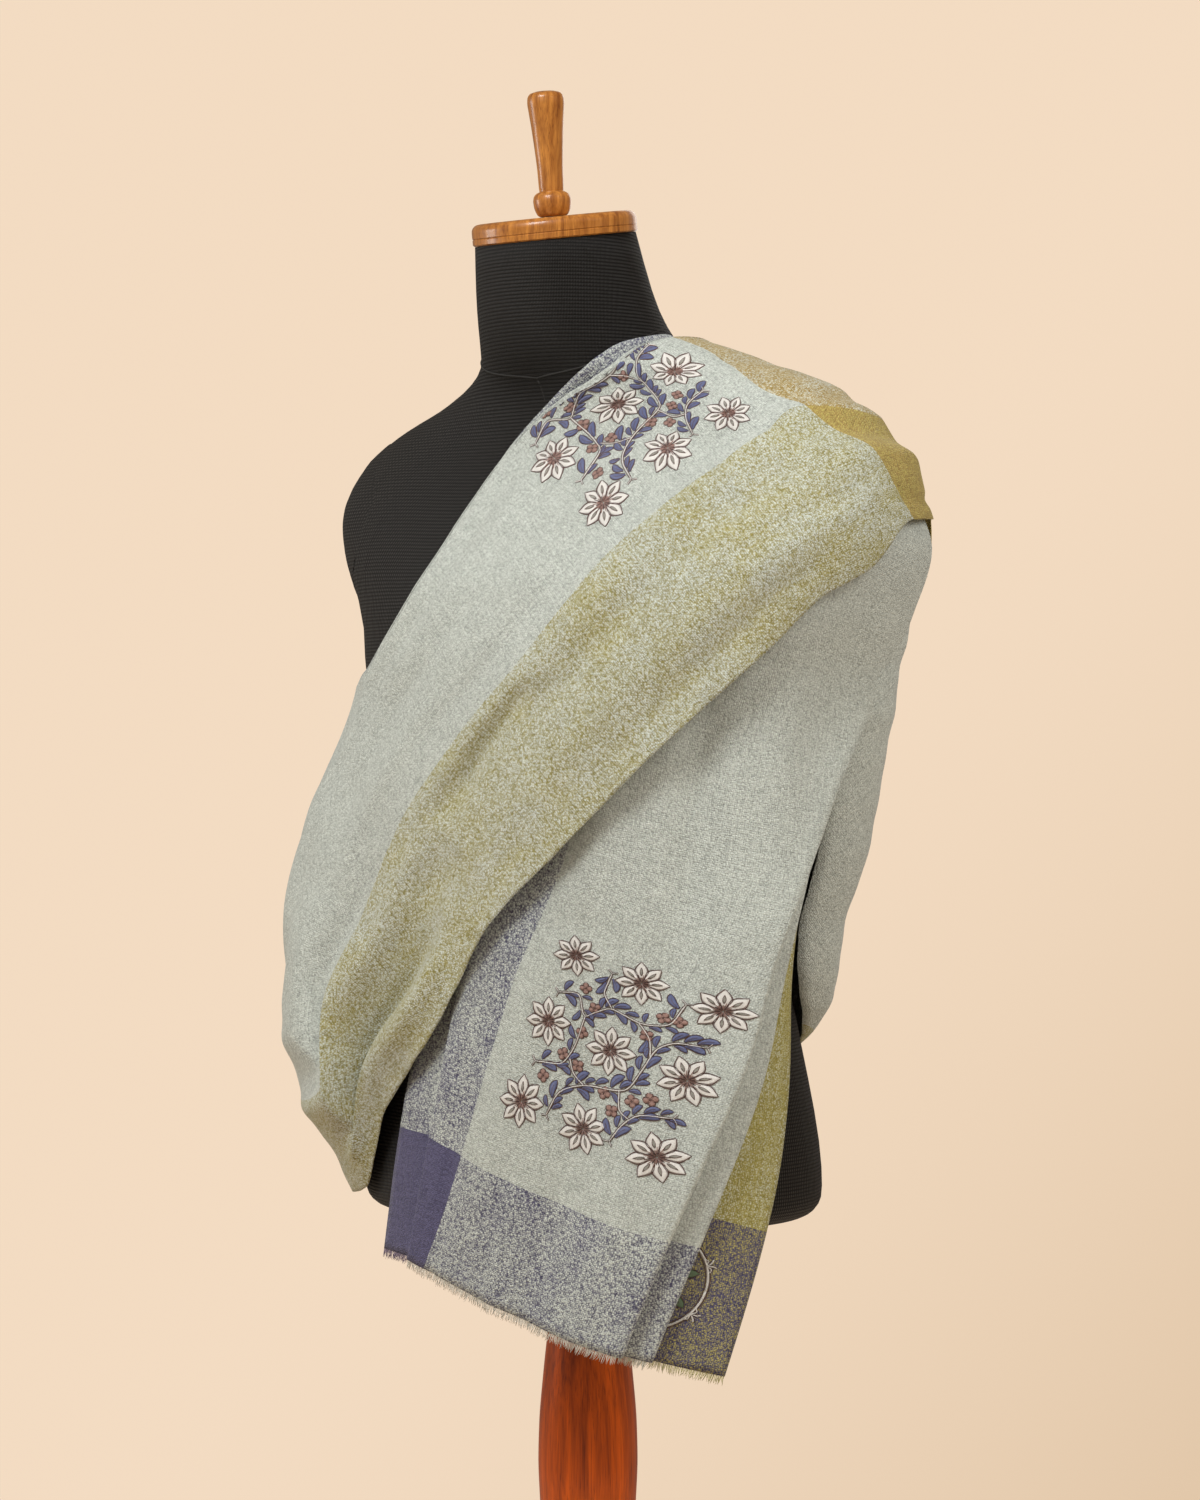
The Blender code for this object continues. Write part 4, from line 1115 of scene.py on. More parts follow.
        hook_points, hook_across = self.hook(along[hooked])
        first = numbers.size + np.arange(hook_across.size).reshape(hook_across.shape)
        places = np.concatenate([width[hooked, None], hook_across], 1)
        upward = unit(flat[hooked, -1:] - flat[hooked, -2:-1])
        strips.append(ClothStrip(np.concatenate([numbers[hooked, -1:], first], 1), places, along[hooked],
                                 flat[hooked, -1:] + upward * (places - places[:, :1])[..., None]))

        curl_points, shares = self.curl(along[curled])
        first = first.max() + 1 + np.arange(curl_points[..., 0].size).reshape(-1, len(shares))
        steps = np.append(shares, 0.0) * self.curl_shown
        downward = unit(flat[curled, :1] - flat[curled, 1:2])
        strips.append(ClothStrip(np.concatenate([first, numbers[curled, :1]], 1),
                                 self.lower_u(line[curled], -steps), along[curled],
                                 flat[curled, :1] + downward * steps[:, None]))
        piece = mesh_piece("shawl_worn_cloth",
                           np.concatenate([part.reshape(-1, 3)
                                           for part in (points, hook_points, curl_points)]),
                           [face for strip in strips for face in strip.faces()], [Finish.SHAWL],
                           np.concatenate([strip.corners(strip.cut()) for strip in strips]),
                           weave=np.concatenate([strip.corners(strip.flat) for strip in strips]))
        solidify(piece, self.thickness)
        return piece


# ---- the front fall
class FallRow(NamedTuple):
    """One line across the front fall: its front face runs from left fold to right fold.

    The shares give the other edges as parts of that face's width, measured from the
    left fold: below 0 they stick out on the left, above 1 on the right.
    """
    along: float  # v
    left: tuple  # turn and height of the face's left fold
    right: tuple  # turn and height of the face's right fold
    indigo_share: float  # the indigo edge, behind the left fold
    peek_share: float  # the second fold on the right
    olive_share: float  # the olive edge, behind the second fold
    inner_out: float  # millimetres from the drape surface to the lowest layer
    left_out: float  # millimetres to the face at its left fold
    right_out: float  # and at its right fold


FALL_ROWS = tuple(FallRow(*row) for row in (
    (0.0, (-21.9, 0.776), (46.4, 0.7198), -0.223, 1.085, 1.335, 4.5, 14, 28.9),
    (0.12, (-10.9, 0.894), (58.0, 0.8261), -0.236, 1.09, 1.314, 5.5, 14, 32.9),
    (0.244, (0.0, 1.019), (69.4, 0.928), -0.15, 1.087, 1.257, 4.5, 12, 35.5),
    (0.35, (8.7, 1.09), (76.6, 1.017), -0.12, 1.085, 1.18, 3.5, 10.5, 33.3),
    (0.45, (16.0, 1.17), (91.1, 1.1256), -0.11, 1.04, 1.09, 3, 10, 30),
    (0.55, (24.0, 1.25), (102.0, 1.2052), -0.1, 1.025, 1.045, 3, 9.5, 32.4),
    (0.64, (33.0, 1.325), (106.0, 1.275), -0.09, 1.015, 1.03, 3, 9, 37),
    (0.69, (41.0, 1.365), (104.5, 1.312), -0.08, 1.01, 1.02, 3, 9, 35),
    (0.73, (50.0, 1.395), (102.0, 1.336), -0.08, 1.005, 1.005, 3.5, 9.0, 27),
    (0.77, (64.0, 1.425), (101.0, 1.355), -0.08, 0.995, 0.99, 3.8, 9.5, 19),
    (0.818, (90.0, 1.445), (105.0, 1.3685), -0.08, 0.985, 0.97, 3.8, 9.5, 15),
))

# Across the face, from_u and to_u are metres from its left fold.
FALL_FOLDS = tuple(Fold(*row) for row in (
    (0.26, 0.192, 0.6, 0.148, -8.5, 18),
    (0.34, 0.238, 0.66, 0.2, 4.5, 18),
    (0.02, 0.06, 0.3, 0.085, 3.4, 19),
    (-0.06, 0.12, 0.24, 0.15, -4.6, 17),
    (-0.05, 0.165, 0.36, 0.208, 3.6, 14),
    (0.32, 0.105, 0.6, 0.085, 4.2, 19),
    (0.26, 0.052, 0.52, 0.04, -2.4, 14),
    (0.48, 0.268, 0.74, 0.262, -3.0, 12),
    (-0.05, 0.028, 0.16, 0.03, -2.0, 9),
    (-0.08, 0.088, 0.1, 0.096, 1.8, 8),
    (0.1, 0.01, 0.3, 0.014, 1.8, 8),
))


class Layer(NamedTuple):
    """One flat layer of the fall's zigzag, between two of its edges."""
    start: float  # share of the face's width
    end: float
    sunk: float  # share of the way in from the face to the lowest layer
    from_u: float
    to_u: float
    count: int  # points along it


@dataclass
class FrontFall:
    """The end of the shawl that hangs down the front in pleats."""
    start: float = 0.0
    end: float = 0.818
    thickness: float = 0.0008
    step: float = 0.0066
    under_left: float = 0.08  # shares of the face where the hidden folds turn back
    under_right: float = 0.66
    under_peek: float = 0.78
    hidden_parts: tuple = (0.34, 0.62)  # shares of the hidden cloth in its first one and two layers
    strip_rise: float = 0.7  # how much more level the strip beyond the left fold hangs
    indigo_line: float = 0.88  # u of the line between mint and indigo
    grey_at_hem: float = 0.008  # grey heather on the face, beside its left fold
    grey_growth: float = 0.22
    grey_easing: float = 0.16
    grey_most: float = 0.07

    def values(self, along: float) -> Array:
        """The FallRow values at a place along the fall, as a flat array."""
        flat = [(row.along, *row.left, *row.right, *row[3:]) for row in FALL_ROWS]
        knots = [row.along for row in FALL_ROWS]
        return np.array([smooth(knots, [row[field] for row in flat], along) for field in range(len(flat[0]))])

    def face_out(self, values: Array, share: Array) -> Array:
        """Millimetres from the drape surface to the face: it rises late, towards its right fold."""
        left_out, right_out = values[9], values[10]
        inside = np.clip(share, 0, 1)
        power = smooth((0.0, 0.08, 0.22, 0.5, 0.62, 0.82), (4.0, 4.6, 5.5, 5.5, 3.0, 3.0), values[0])
        dip = smooth((0.0, 0.2, 0.5, 0.62, 0.82), (2.0, 2.5, 2.5, 0.0, 0.0), values[0])
        return left_out + (right_out - left_out) * inside ** power - dip * np.sin(np.pi * inside) ** 2

    def point(self, along: Any, share: Any, sunk: Any, lift: Any = 0.0) -> Array:
        """Places on the fall's layers.

        Args:
            along: v of each place.
            share: Share across the face.
            sunk: Share of the way in from the face to the lowest layer.
            lift: Metres off the surface.

        Returns:
            Points, one for each place.
        """
        along, share, sunk = np.broadcast_arrays(*(np.asarray(part, float) for part in (along, share, sunk)))
        values = self.values(along)
        left_turn, left_height, right_turn, right_height = values[1:5]
        turn = left_turn + (right_turn - left_turn) * share
        height = left_height + (right_height - left_height) * share
        height = height - (right_height - left_height) * self.strip_rise * np.clip(share, None, 0)
        face, inner = self.face_out(values, share), values[8]
        face = face + fold_out(FALL_FOLDS, along, share * self.width_table(along)) * 1000
        return DRAPE.off(turn, height, (face + (inner - face) * sunk) * MM + lift)

    def width_table(self, along: Any) -> Array:
        """Width of the front face, from fold to fold."""
        return smooth((0.0, 0.1, 0.2, 0.25, 0.35, 0.45, 0.55, 0.65, 0.7, 0.818),
                      (0.199, 0.212, 0.232, 0.239, 0.239, 0.271, 0.3, 0.323, 0.303, 0.165), along)

    def grey_width(self, along: Any) -> Array:
        """Width of grey heather on the face, beside its left fold."""
        grey = self.grey_at_hem + self.grey_growth * along - self.grey_easing * along ** 2
        return np.minimum(grey, self.grey_most)

    def face_place(self, u: Any, v: Any, lift: Any = 0.0) -> Array:
        """Places on the front face by their place on the cut."""
        share = (self.indigo_line + self.grey_width(v) - u) / self.width_table(v)
        return self.point(v, share, 0.0, lift)

    def olive_place(self, u: Any, v: Any, lift: Any = 0.0) -> Array:
        """Places on the lowest layer, by the olive selvedge."""
        share = self.values(v)[7] - u / self.width_table(v)
        return self.point(v, share, 1.0, lift)

    def zigzag(self, along: float) -> tuple[Array, Array, Array]:
        """The line across the fall, from its indigo edge to its olive edge.

        Args:
            along: v of the line.

        Returns:
            Share across the face, share of the way in, and u of each point.
        """
        values = self.values(along)
        indigo, peek, olive, inner = values[5:9]
        width = float(self.width_table(along))
        left_u = self.indigo_line + float(self.grey_width(along))
        right_u = left_u - width
        hem_u = (olive - self.under_peek) * width
        indigo_u = 1.0 - (self.under_left - indigo) * width
        peek_u, back_u = (right_u + (hem_u - right_u) * part for part in self.hidden_parts)
        layers = (Layer(indigo, self.under_left, 1.0, 1.0, indigo_u, 12),
                  Layer(self.under_left, 0.0, 0.5, indigo_u, left_u, 6),
                  Layer(0.0, 1.0, 0.0, left_u, right_u, 44),
                  Layer(1.0, self.under_right, 0.25, right_u, peek_u, 14),
                  Layer(self.under_right, peek, 0.5, peek_u, back_u, 18),
                  Layer(peek, self.under_peek, 0.75, back_u, hem_u, 14),
                  Layer(self.under_peek, olive, 1.0, hem_u, 0.0, 26))
        shares, sunks, cut = [], [], []
        for layer, after in zip(layers, layers[1:] + (None,)):
            shares += list(np.linspace(layer.start, layer.end, layer.count))
            sunks += [layer.sunk] * layer.count
            cut += list(np.linspace(layer.from_u, layer.to_u, layer.count))
            if after is None:
                break
            middle, half = (layer.sunk + after.sunk) / 2, (after.sunk - layer.sunk) / 2
            depth = (float(self.face_out(values, layer.end)) - inner) * MM
            bulge = math.copysign(abs(half) * depth / width, layer.end - layer.start)
            for turn in np.radians((-60, -30, 0, 30, 60)):
                shares.append(layer.end + bulge * math.cos(turn))
                sunks.append(middle + half * math.sin(turn))
                cut.append(layer.to_u)
        return np.array(shares), np.array(sunks), np.array(cut)

    def build(self) -> Piece:
        """Make the pleated sheet with its thickness."""
        stations = np.linspace(self.start, self.end, round((self.end - self.start) / self.step) + 1)
        lines, cut = [], []
        for along in stations:
            share, sunk, u = self.zigzag(float(along))
            lines.append(self.point(along, share, sunk))
            cut.append(np.stack([u, np.full_like(u, along)], -1))
        return cloth_piece("shawl_front_pleats", np.array(lines), np.array(cut), self.thickness)


# ---- the edge at the neck
@dataclass
class NeckEdge:
    """The indigo selvedge of the layer under the sash, which shows beside the neck."""
    cloth: WornCloth
    start: float = 2.2
    end: float = 2.66
    seat: float = 0.0017  # middle of the layer, off the torso
    tuck: float = 0.022  # how far it reaches under the sash
    shift: float = 0.12  # how far it lags behind the sash along the cut
    tangent: float = 0.004  # metres of the sash that give the direction beyond its edge
    thickness: float = 0.0008
    rows: int = 110
    columns: int = 8

    def peek(self, along: Array) -> Array:
        """Metres that show beyond the sash's upper fold."""
        return smooth((2.2, 2.3, 2.42, 2.46, 2.49, 2.52, 2.55, 2.586, 2.62, 2.66),
                      (-0.002, 0.0046, 0.0056, 0.008, 0.013, 0.019, 0.026, 0.032, 0.032, 0.02), along)

    def build(self) -> Piece:
        """Make the strip."""
        along = np.repeat(np.linspace(self.start, self.end, self.rows)[:, None], self.columns, 1)
        share = np.linspace(0, 1, self.columns)
        reach = self.tuck + self.peek(along)
        full = self.cloth.width(along)
        across = full - self.tuck + reach * share
        inside = np.minimum(across, full)
        beyond = (across - inside) / self.tangent
        turn, height = self.cloth.place(along, inside)[:2]
        turn_before, height_before = self.cloth.place(along, full - self.tangent)[:2]
        turn_at, height_at = self.cloth.place(along, full)[:2]
        points = TORSO.off(turn + (turn_at - turn_before) * beyond,
                           height + (height_at - height_before) * beyond, self.seat)
        cut = np.stack([1.0 - reach * (1 - share), along - self.shift], -1)
        return cloth_piece("shawl_neck_edge", points, cut, self.thickness)


# ---- fringe
class Hem(NamedTuple):
    """One stretch of fringe and the solid that it stands for."""
    name: str
    node: str
    finish: Finish
    start: float  # shares across the face, or across the tail
    end: float
    sunk: float


HEMS = (
    Hem("fringe_of_indigo_strip", "shawl_fringe_indigo", Finish.INDIGO_FRINGE, -0.223, -0.01, 1.0),
    Hem("fringe_of_front_face", "shawl_fringe_front", Finish.CREAM_FRINGE, 0.0, 1.0, 0.0),
    Hem("fringe_of_second_fold", "shawl_fringe_fold", Finish.CREAM_FRINGE, 1.0, 1.085, 0.5),
    Hem("fringe_of_olive_strip", "shawl_fringe_olive", Finish.OLIVE_FRINGE, 0.95, 1.335, 1.0),
    Hem("fringe_of_end_tail", "shawl_fringe_tail", Finish.OLIVE_FRINGE, 1.0, 0.0, 0.0),
)


@dataclass
class FringeMaker:
    """Fine yarn ends along the hems."""
    fall: FrontFall
    cloth: WornCloth
    pitch: float = 0.0007
    length: float = 0.0068
    radius: float = 0.00033
    seed: int = 7

    def hem_point(self, hem: Hem, share: Array, above: float) -> Array:
        """Places along a hem, or a little above it."""
        if hem.node == "shawl_fringe_tail":
            return self.cloth.point(self.cloth.end - above, self.cloth.width(self.cloth.end) * (1 - share))
        across = hem.start + (hem.end - hem.start) * share
        return self.fall.point(above, across, hem.sunk)

    def strands(self, hem: Hem) -> tuple[Array, list[tuple[int, ...]], Array]:
        """Tapered strands along one hem.

        Args:
            hem: The hem.

        Returns:
            Points, faces, and the place along its strand for each corner of each face.
        """
        chance = np.random.default_rng(self.seed + len(hem.name))
        rough = self.hem_point(hem, np.linspace(0, 1, 60), 0.0)
        length = np.linalg.norm(np.diff(rough, axis=0), axis=1).sum()
        count = round(length / self.pitch)
        share = (np.arange(count) + 0.5 + chance.uniform(-0.35, 0.35, count)) / count
        root = self.hem_point(hem, share, 0.0)
        down = unit(root - self.hem_point(hem, share, 0.02))
        along = unit(np.gradient(root, axis=0))
        off = unit(np.cross(along, down))
        sway = (0.16 * np.sin(share * length * 160) + chance.normal(0, 0.17, count))[:, None]
        lean = chance.normal(0.0, 0.14, count)[:, None]
        reach = self.length * chance.uniform(0.75, 1.12, count)[:, None]
        steps = (-0.15, 0.0, 0.35, 0.7, 1.0)
        sizes = (1.0, 1.0, 0.95, 0.75, 0.3)
        rings = []
        for step, size in zip(steps, sizes):
            curl = step * abs(step)
            middle = root + (down * step + (along * sway + off * lean) * curl) * reach
            ring = []
            for corner in range(3):
                angle = corner * 2 * math.pi / 3 + share[:, None] * 40
                ring.append(middle + (along * np.cos(angle) + off * np.sin(angle)) * self.radius * size)
            rings.append(np.stack(ring, 1))
        points = np.stack(rings, 1).reshape(-1, 3)
        faces, cut = [], []
        for strand in range(count):
            first = strand * len(steps) * 3
            for corners in tube_corners(len(steps) - 1, 3):
                faces.append(tuple(first + level * 3 + side for level, side in corners))
                cut += [(steps[level] * self.length, strand * self.pitch) for level, _ in corners]
            last = first + len(steps) * 3 - 3
            faces += [(first, first + 1, first + 2), (last + 2, last + 1, last)]
            cut += [(0.0, 0.0)] * 3 + [(self.length, 0.0)] * 3
        return points, faces, np.array(cut)

    def build(self) -> dict[str, Piece]:
        """Make every stretch of fringe, by the node that it stands for."""
        made = {}
        for hem in HEMS:
            points, faces, cut = self.strands(hem)
            piece = mesh_piece(hem.name, points, faces, [hem.finish], cut)
            outward(piece)
            made[hem.node] = piece
        return made


# ---- embroidery
Surface = Callable[[Array, Array, Any], Array]
THREADS = (Finish.WHITE_THREAD, Finish.BROWN_THREAD, Finish.ROSE_THREAD, Finish.BLUE_THREAD,
           Finish.GREEN_THREAD, Finish.SAGE_THREAD)
FILLED = ((-1.0, 0.0), (-0.62, 0.8), (0.0, 1.0), (0.62, 0.8), (1.0, 0.0), (0.0, -0.6))
LAID = ((-1.0, 0.0), (0.0, 1.0), (1.0, 0.0), (0.0, -0.6))


def heading(degrees: float) -> Array:
    """The flat direction at an angle."""
    return np.array([math.cos(math.radians(degrees)), math.sin(math.radians(degrees))])


def beside(path: Array) -> Array:
    """The direction to the left of a path at each of its points."""
    ahead = unit(np.gradient(path, axis=0))
    return np.stack([-ahead[:, 1], ahead[:, 0]], -1)


def through(places: Any, count: int) -> Array:
    """A smooth path of `count` points through a few places."""
    places = np.asarray(places, float)
    share = walked(places)
    fine = np.linspace(0, share[-1], count)
    return np.stack([smooth(share, places[:, axis], fine) for axis in (0, 1)], -1)


class Needlework:
    """Collects stitched shapes in flat cloth metres and lays them on a surface.

    A shape's x runs across the cut, away from the indigo selvedge, and its y along it.
    """

    def __init__(self) -> None:
        """Start with no stitches."""
        self.points: list[Array] = []
        self.faces: list[tuple[int, ...]] = []
        self.cut: list[tuple[float, float]] = []
        self.slots: list[int] = []
        self.count = 0

    def shape(self, path: Array, widths: Any, height: float, thread: Finish, base: float = 0.0,
              section: tuple = FILLED) -> None:
        """Add one closed, rounded shape along a path.

        Args:
            path: Its middle line.
            widths: Its width at each point of the path, or one for all.
            height: How high it stands.
            thread: Its thread.
            base: How high its edge lies.
            section: The section across it.
        """
        path = np.asarray(path, float)
        widths = np.broadcast_to(np.asarray(widths, float), (len(path),))
        side = beside(path)
        size = len(section)
        rings = []
        for across, rise in section:
            flat = path + side * (widths / 2 * across)[:, None]
            lift = base + height * rise * np.clip(widths / max(widths.max(), 1e-9), 0.35, 1.0) ** 0.5
            rings.append(np.concatenate([flat, lift[:, None]], 1))
        far, first = walked(path), self.count
        for corners in tube_corners(len(path) - 1, size):
            self.faces.append(tuple(first + level * size + side for level, side in corners))
            self.cut += [(far[level], section[side][0] * widths[level] / 2) for level, side in corners]
        for level, way in ((0, 1), (len(path) - 1, -1)):
            self.faces.append(tuple(first + level * size + corner for corner in range(size))[::way])
            self.cut += [(far[level], 0.0)] * size
        self.slots += [THREADS.index(thread)] * (len(self.faces) - len(self.slots))
        self.points.append(np.stack(rings, 1).reshape(-1, 3))
        self.count += len(path) * size

    def line(self, path: Array, width: float, thread: Finish = Finish.BROWN_THREAD,
             height: float = 0.0009) -> None:
        """Add one laid thread along a path."""
        self.shape(path, width, height, thread, 0.0, LAID)

    def outlined(self, path: Array, widths: Array, thread: Finish, outline: float = 0.0007,
                 height: float = 0.0007) -> None:
        """Add a filled shape with a brown thread round it."""
        self.shape(path, widths, height, thread)
        for way in (-1, 1):
            self.line(path + beside(path) * (way * widths / 2)[:, None], outline, height=height + 0.0001)

    def lay(self, name: str, surface: Surface, lift: float,
            keep: Callable[[Array, Array], Array] | None = None) -> Piece:
        """Place all stitches on a surface and make them one piece.

        Args:
            name: The piece's name.
            surface: Gives points from u, v and a lift.
            lift: Metres from the surface to the shapes' edges.
            keep: Tells which places stay, or None for all.

        Returns:
            The new object.
        """
        flat = np.concatenate(self.points)
        u, v = -flat[:, 0], flat[:, 1]
        placed = surface(u, v, flat[:, 2] + lift)
        faces, slots, cut = self.faces, self.slots, np.array(self.cut)
        if keep is not None:
            stay = keep(u, v)
            starts = np.concatenate([[0], np.cumsum([len(face) for face in faces])])
            chosen = [number for number, face in enumerate(faces) if all(stay[corner] for corner in face)]
            cut = np.concatenate([cut[starts[number]:starts[number + 1]] for number in chosen])
            faces = [faces[number] for number in chosen]
            slots = [slots[number] for number in chosen]
        piece = mesh_piece(name, placed, faces, list(THREADS), cut, slots)
        with editing(piece):
            bpy.ops.mesh.delete_loose()
        outward(piece)
        return piece


@dataclass(frozen=True)
class Flower:
    """A flower of pointed petals in white satin stitch, each with a vein and a brown outline."""
    radius: float = 0.0198
    core: float = 0.36  # share of the radius
    petals: int = 8
    fullness: float = 0.5  # a petal's greatest width, as a share of the radius
    rays: int = 26
    petal_start: float = 0.24  # shares of the radius
    vein_start: float = 0.36
    vein_length: float = 0.38
    vein_width: float = 0.105

    def stitch(self, work: Needlework, centre: Array, turn: float) -> None:
        """Add one flower.

        Args:
            work: Where its stitches go.
            centre: Its middle.
            turn: Its turn in degrees.
        """
        share = np.linspace(0, 1, 11)
        widths = self.radius * self.fullness * smooth((0, 0.2, 0.42, 0.62, 0.8, 0.92, 1.0),
                                                      (0.4, 0.74, 1.0, 0.86, 0.5, 0.22, 0.02), share)
        vein_share = np.linspace(0, 1, 6)
        vein_widths = self.radius * self.vein_width * np.maximum(np.sin(np.pi * vein_share ** 0.85), 0.04)
        for petal in range(self.petals):
            ahead = heading(turn + petal * 360 / self.petals)
            reach = self.radius * (self.petal_start + (1 - self.petal_start) * share)
            line = centre + ahead * reach[:, None]
            work.outlined(line, widths, Finish.WHITE_THREAD, 0.0007, 0.0008)
            vein_reach = self.radius * (self.vein_start + self.vein_length * vein_share)
            vein = centre + ahead * vein_reach[:, None]
            work.shape(vein, vein_widths, 0.0005, Finish.SAGE_THREAD, 0.0006, LAID)
            for way in (-1, 1):
                edge = vein + beside(vein) * (way * vein_widths / 2)[:, None]
                work.shape(edge, 0.00052, 0.0006, Finish.BROWN_THREAD, 0.0006, LAID)
        for ray in range(self.rays):
            ahead = heading(turn + 9 + ray * 360 / self.rays)
            inner, outer = 0.04 + 0.05 * (ray % 3), self.core * (0.8 + 0.34 * (ray % 2))
            path = centre + ahead * (self.radius * np.linspace(inner, outer, 3))[:, None]
            thread = (Finish.ROSE_THREAD, Finish.BROWN_THREAD, Finish.ROSE_THREAD)[ray % 3]
            work.line(path, 0.00088, thread, 0.0013)


LEAF_BEND = 0.14  # shares of a leaf's length
LEAF_WIDTH = 0.46


def stitch_leaf(work: Needlework, base: Array, angle: float, length: float,
                thread: Finish = Finish.BLUE_THREAD) -> None:
    """Add one curved leaf, fullest past its middle, with a brown outline.

    Args:
        work: Where its stitches go.
        base: Its stalk end.
        angle: Its direction in degrees.
        length: Its length.
        thread: Its filling thread.
    """
    share = np.linspace(0, 1, 8)
    ahead = heading(angle)
    side = np.array([-ahead[1], ahead[0]])
    bend = LEAF_BEND * length * np.sin(np.pi * share)
    line = base + ahead * (share * length)[:, None] + side * bend[:, None]
    widths = length * LEAF_WIDTH * smooth((0, 0.25, 0.6, 0.85, 1.0), (0.16, 0.72, 1.0, 0.66, 0.08), share)
    work.outlined(line, widths, thread, 0.00058)
    work.shape(line[1:6], 0.0004, 0.0005, Finish.BROWN_THREAD, 0.0005, LAID)


def stitch_rosette(work: Needlework, centre: Array, radius: float, turn: float) -> None:
    """Add one small rose-brown rosette of four round lobes."""
    share = np.linspace(0, 1, 5)
    for lobe in range(4):
        line = centre + heading(turn + lobe * 90) * (share * radius)[:, None]
        widths = radius * 1.02 * smooth((0, 0.3, 0.65, 1.0), (0.3, 0.8, 1.0, 0.25), share)
        work.outlined(line, widths, Finish.ROSE_THREAD, 0.0005)
    knot = centre + heading(turn) * np.linspace(-0.2, 0.2, 3)[:, None] * radius
    work.line(knot, radius * 0.3, height=0.0013)


def stitch_vine(work: Needlework, path: Array, width: float = 0.0013) -> None:
    """Add one pale vine with brown edges."""
    work.line(path, width, Finish.WHITE_THREAD, 0.001)
    for way in (-1, 1):
        work.line(path + beside(path) * (way * width * 0.68), width * 0.42, height=0.0008)


# Vines of the cluster, in pitches from its middle flower; each ends in a forked tip or joins another.
CLUSTER_VINES = (
    ((-0.97, 0.42), (-0.74, 0.5), (-0.5, 0.27), (-0.4, 0.36), (-0.18, 0.51), (0.2, 0.48), (0.55, 0.62),
     (0.6, 0.9)),
    ((-0.41, 0.94), (-0.4, 0.7), (-0.2, 0.51)),
    ((-0.95, -0.5), (-0.58, -0.38), (-0.49, -0.05), (-0.5, 0.27)),
    ((-0.56, -0.98), (-0.5, -0.74), (-0.2, -0.53), (0.38, -0.36), (0.49, -0.02), (0.54, 0.22), (0.72, 0.4),
     (1.0, 0.46)),
    ((0.42, -0.97), (0.5, -0.76), (0.66, -0.58), (0.97, -0.5)),
    ((-0.5, -0.3), (-0.38, -0.44), (-0.18, -0.53)),
    ((0.2, 0.48), (0.42, 0.32), (0.52, 0.1)),
    ((0.3, -0.4), (0.4, -0.62), (0.55, -0.68)),
)
CLUSTER_ROSETTES = (
    (-0.66, 0.62), (-0.42, 0.42), (0.44, 0.66), (0.63, 0.68), (0.36, 0.36), (-0.62, -0.28), (-0.8, -0.62),
    (-0.36, -0.34), (0.12, -0.5), (0.5, -0.46), (0.3, -0.66), (-0.46, 0.06), (0.7, -0.36),
)


@dataclass
class FlowerCluster:
    """A square of nine flowers with vines, leaves and rosettes between them."""
    u: float
    v: float
    pitch_u: float
    pitch_v: float
    seed: int = 5
    quarter: int = 0  # quarter turns of the pattern of vines
    flower: Flower = Flower()
    leaf_least: float = 0.0085
    leaf_most: float = 0.0142
    rosette: float = 0.0052
    open_end: float = 0.85  # pitches from the middle past which a vine ends in a fork
    stalk: float = 0.0019  # from a vine's middle to a leaf's base
    clearance: float = 0.15  # kept free round a leaf, as a share of its length
    leaf_reach: float = 0.22  # half the room that a leaf takes, as a share of its length

    def place(self, x: float, y: float) -> Array:
        """A place in the cluster, in pitches from its middle, as flat metres."""
        for _ in range(self.quarter):
            x, y = -y, x
        return np.array([-self.u + x * self.pitch_u, self.v + y * self.pitch_v])

    def stitch_fork(self, work: Needlework, end: Array, turn: float) -> None:
        """Add the forked tip of a vine that ends heading `turn` degrees."""
        for lean in (-42, 38):
            tip = end + heading(turn + lean) * 0.0062
            bend = end + heading(turn) * 0.0022
            stitch_vine(work, through([end - heading(turn) * 0.0015, bend, tip], 6), 0.0008)

    def stitch(self, work: Needlework) -> None:
        """Add the whole cluster: flowers, vines, rosettes, and leaves wherever they fit."""
        chance = np.random.default_rng(self.seed)
        flowers = [self.place(x, y) for x in (-1, 0, 1) for y in (-1, 0, 1)]
        taken = [(centre, self.flower.radius * 0.92) for centre in flowers]
        taken += [(self.place(*place), self.rosette) for place in CLUSTER_ROSETTES]
        paths = []
        for places in CLUSTER_VINES:
            path = through([self.place(*place) for place in places], 5 * len(places))
            stitch_vine(work, path)
            paths.append(path)
            for place, way in ((places[0], path[0] - path[3]), (places[-1], path[-1] - path[-4])):
                if max(abs(place[0]), abs(place[1])) > self.open_end:
                    self.stitch_fork(work, self.place(*place), math.degrees(math.atan2(way[1], way[0])))
        for number, place in enumerate(CLUSTER_ROSETTES):
            stitch_rosette(work, self.place(*place), self.rosette, 20 + 31 * number)
        for path in paths:
            normals = beside(path)
            for index in range(1, len(path)):
                for way in (-1, 1):
                    length = chance.uniform(self.leaf_least, self.leaf_most)
                    base = path[index] + normals[index] * way * self.stalk
                    ahead = math.degrees(math.atan2(-normals[index][0], normals[index][1]))
                    for lean in (48, 75, 22, 105):
                        angle = ahead + way * (lean + chance.uniform(-8, 8))
                        spots = [base + heading(angle) * length * part for part in (0.3, 0.62, 0.95)]
                        free = all(np.linalg.norm(spot - centre) > reach + length * self.clearance
                                   for spot in spots for centre, reach in taken)
                        if free:
                            stitch_leaf(work, base, angle, length)
                            taken += [(spot, length * self.leaf_reach) for spot in spots]
                            break
        for number, centre in enumerate(flowers):
            self.flower.stitch(work, centre, 22.5 + 6 * ((number * 5) % 4 - 1.5))


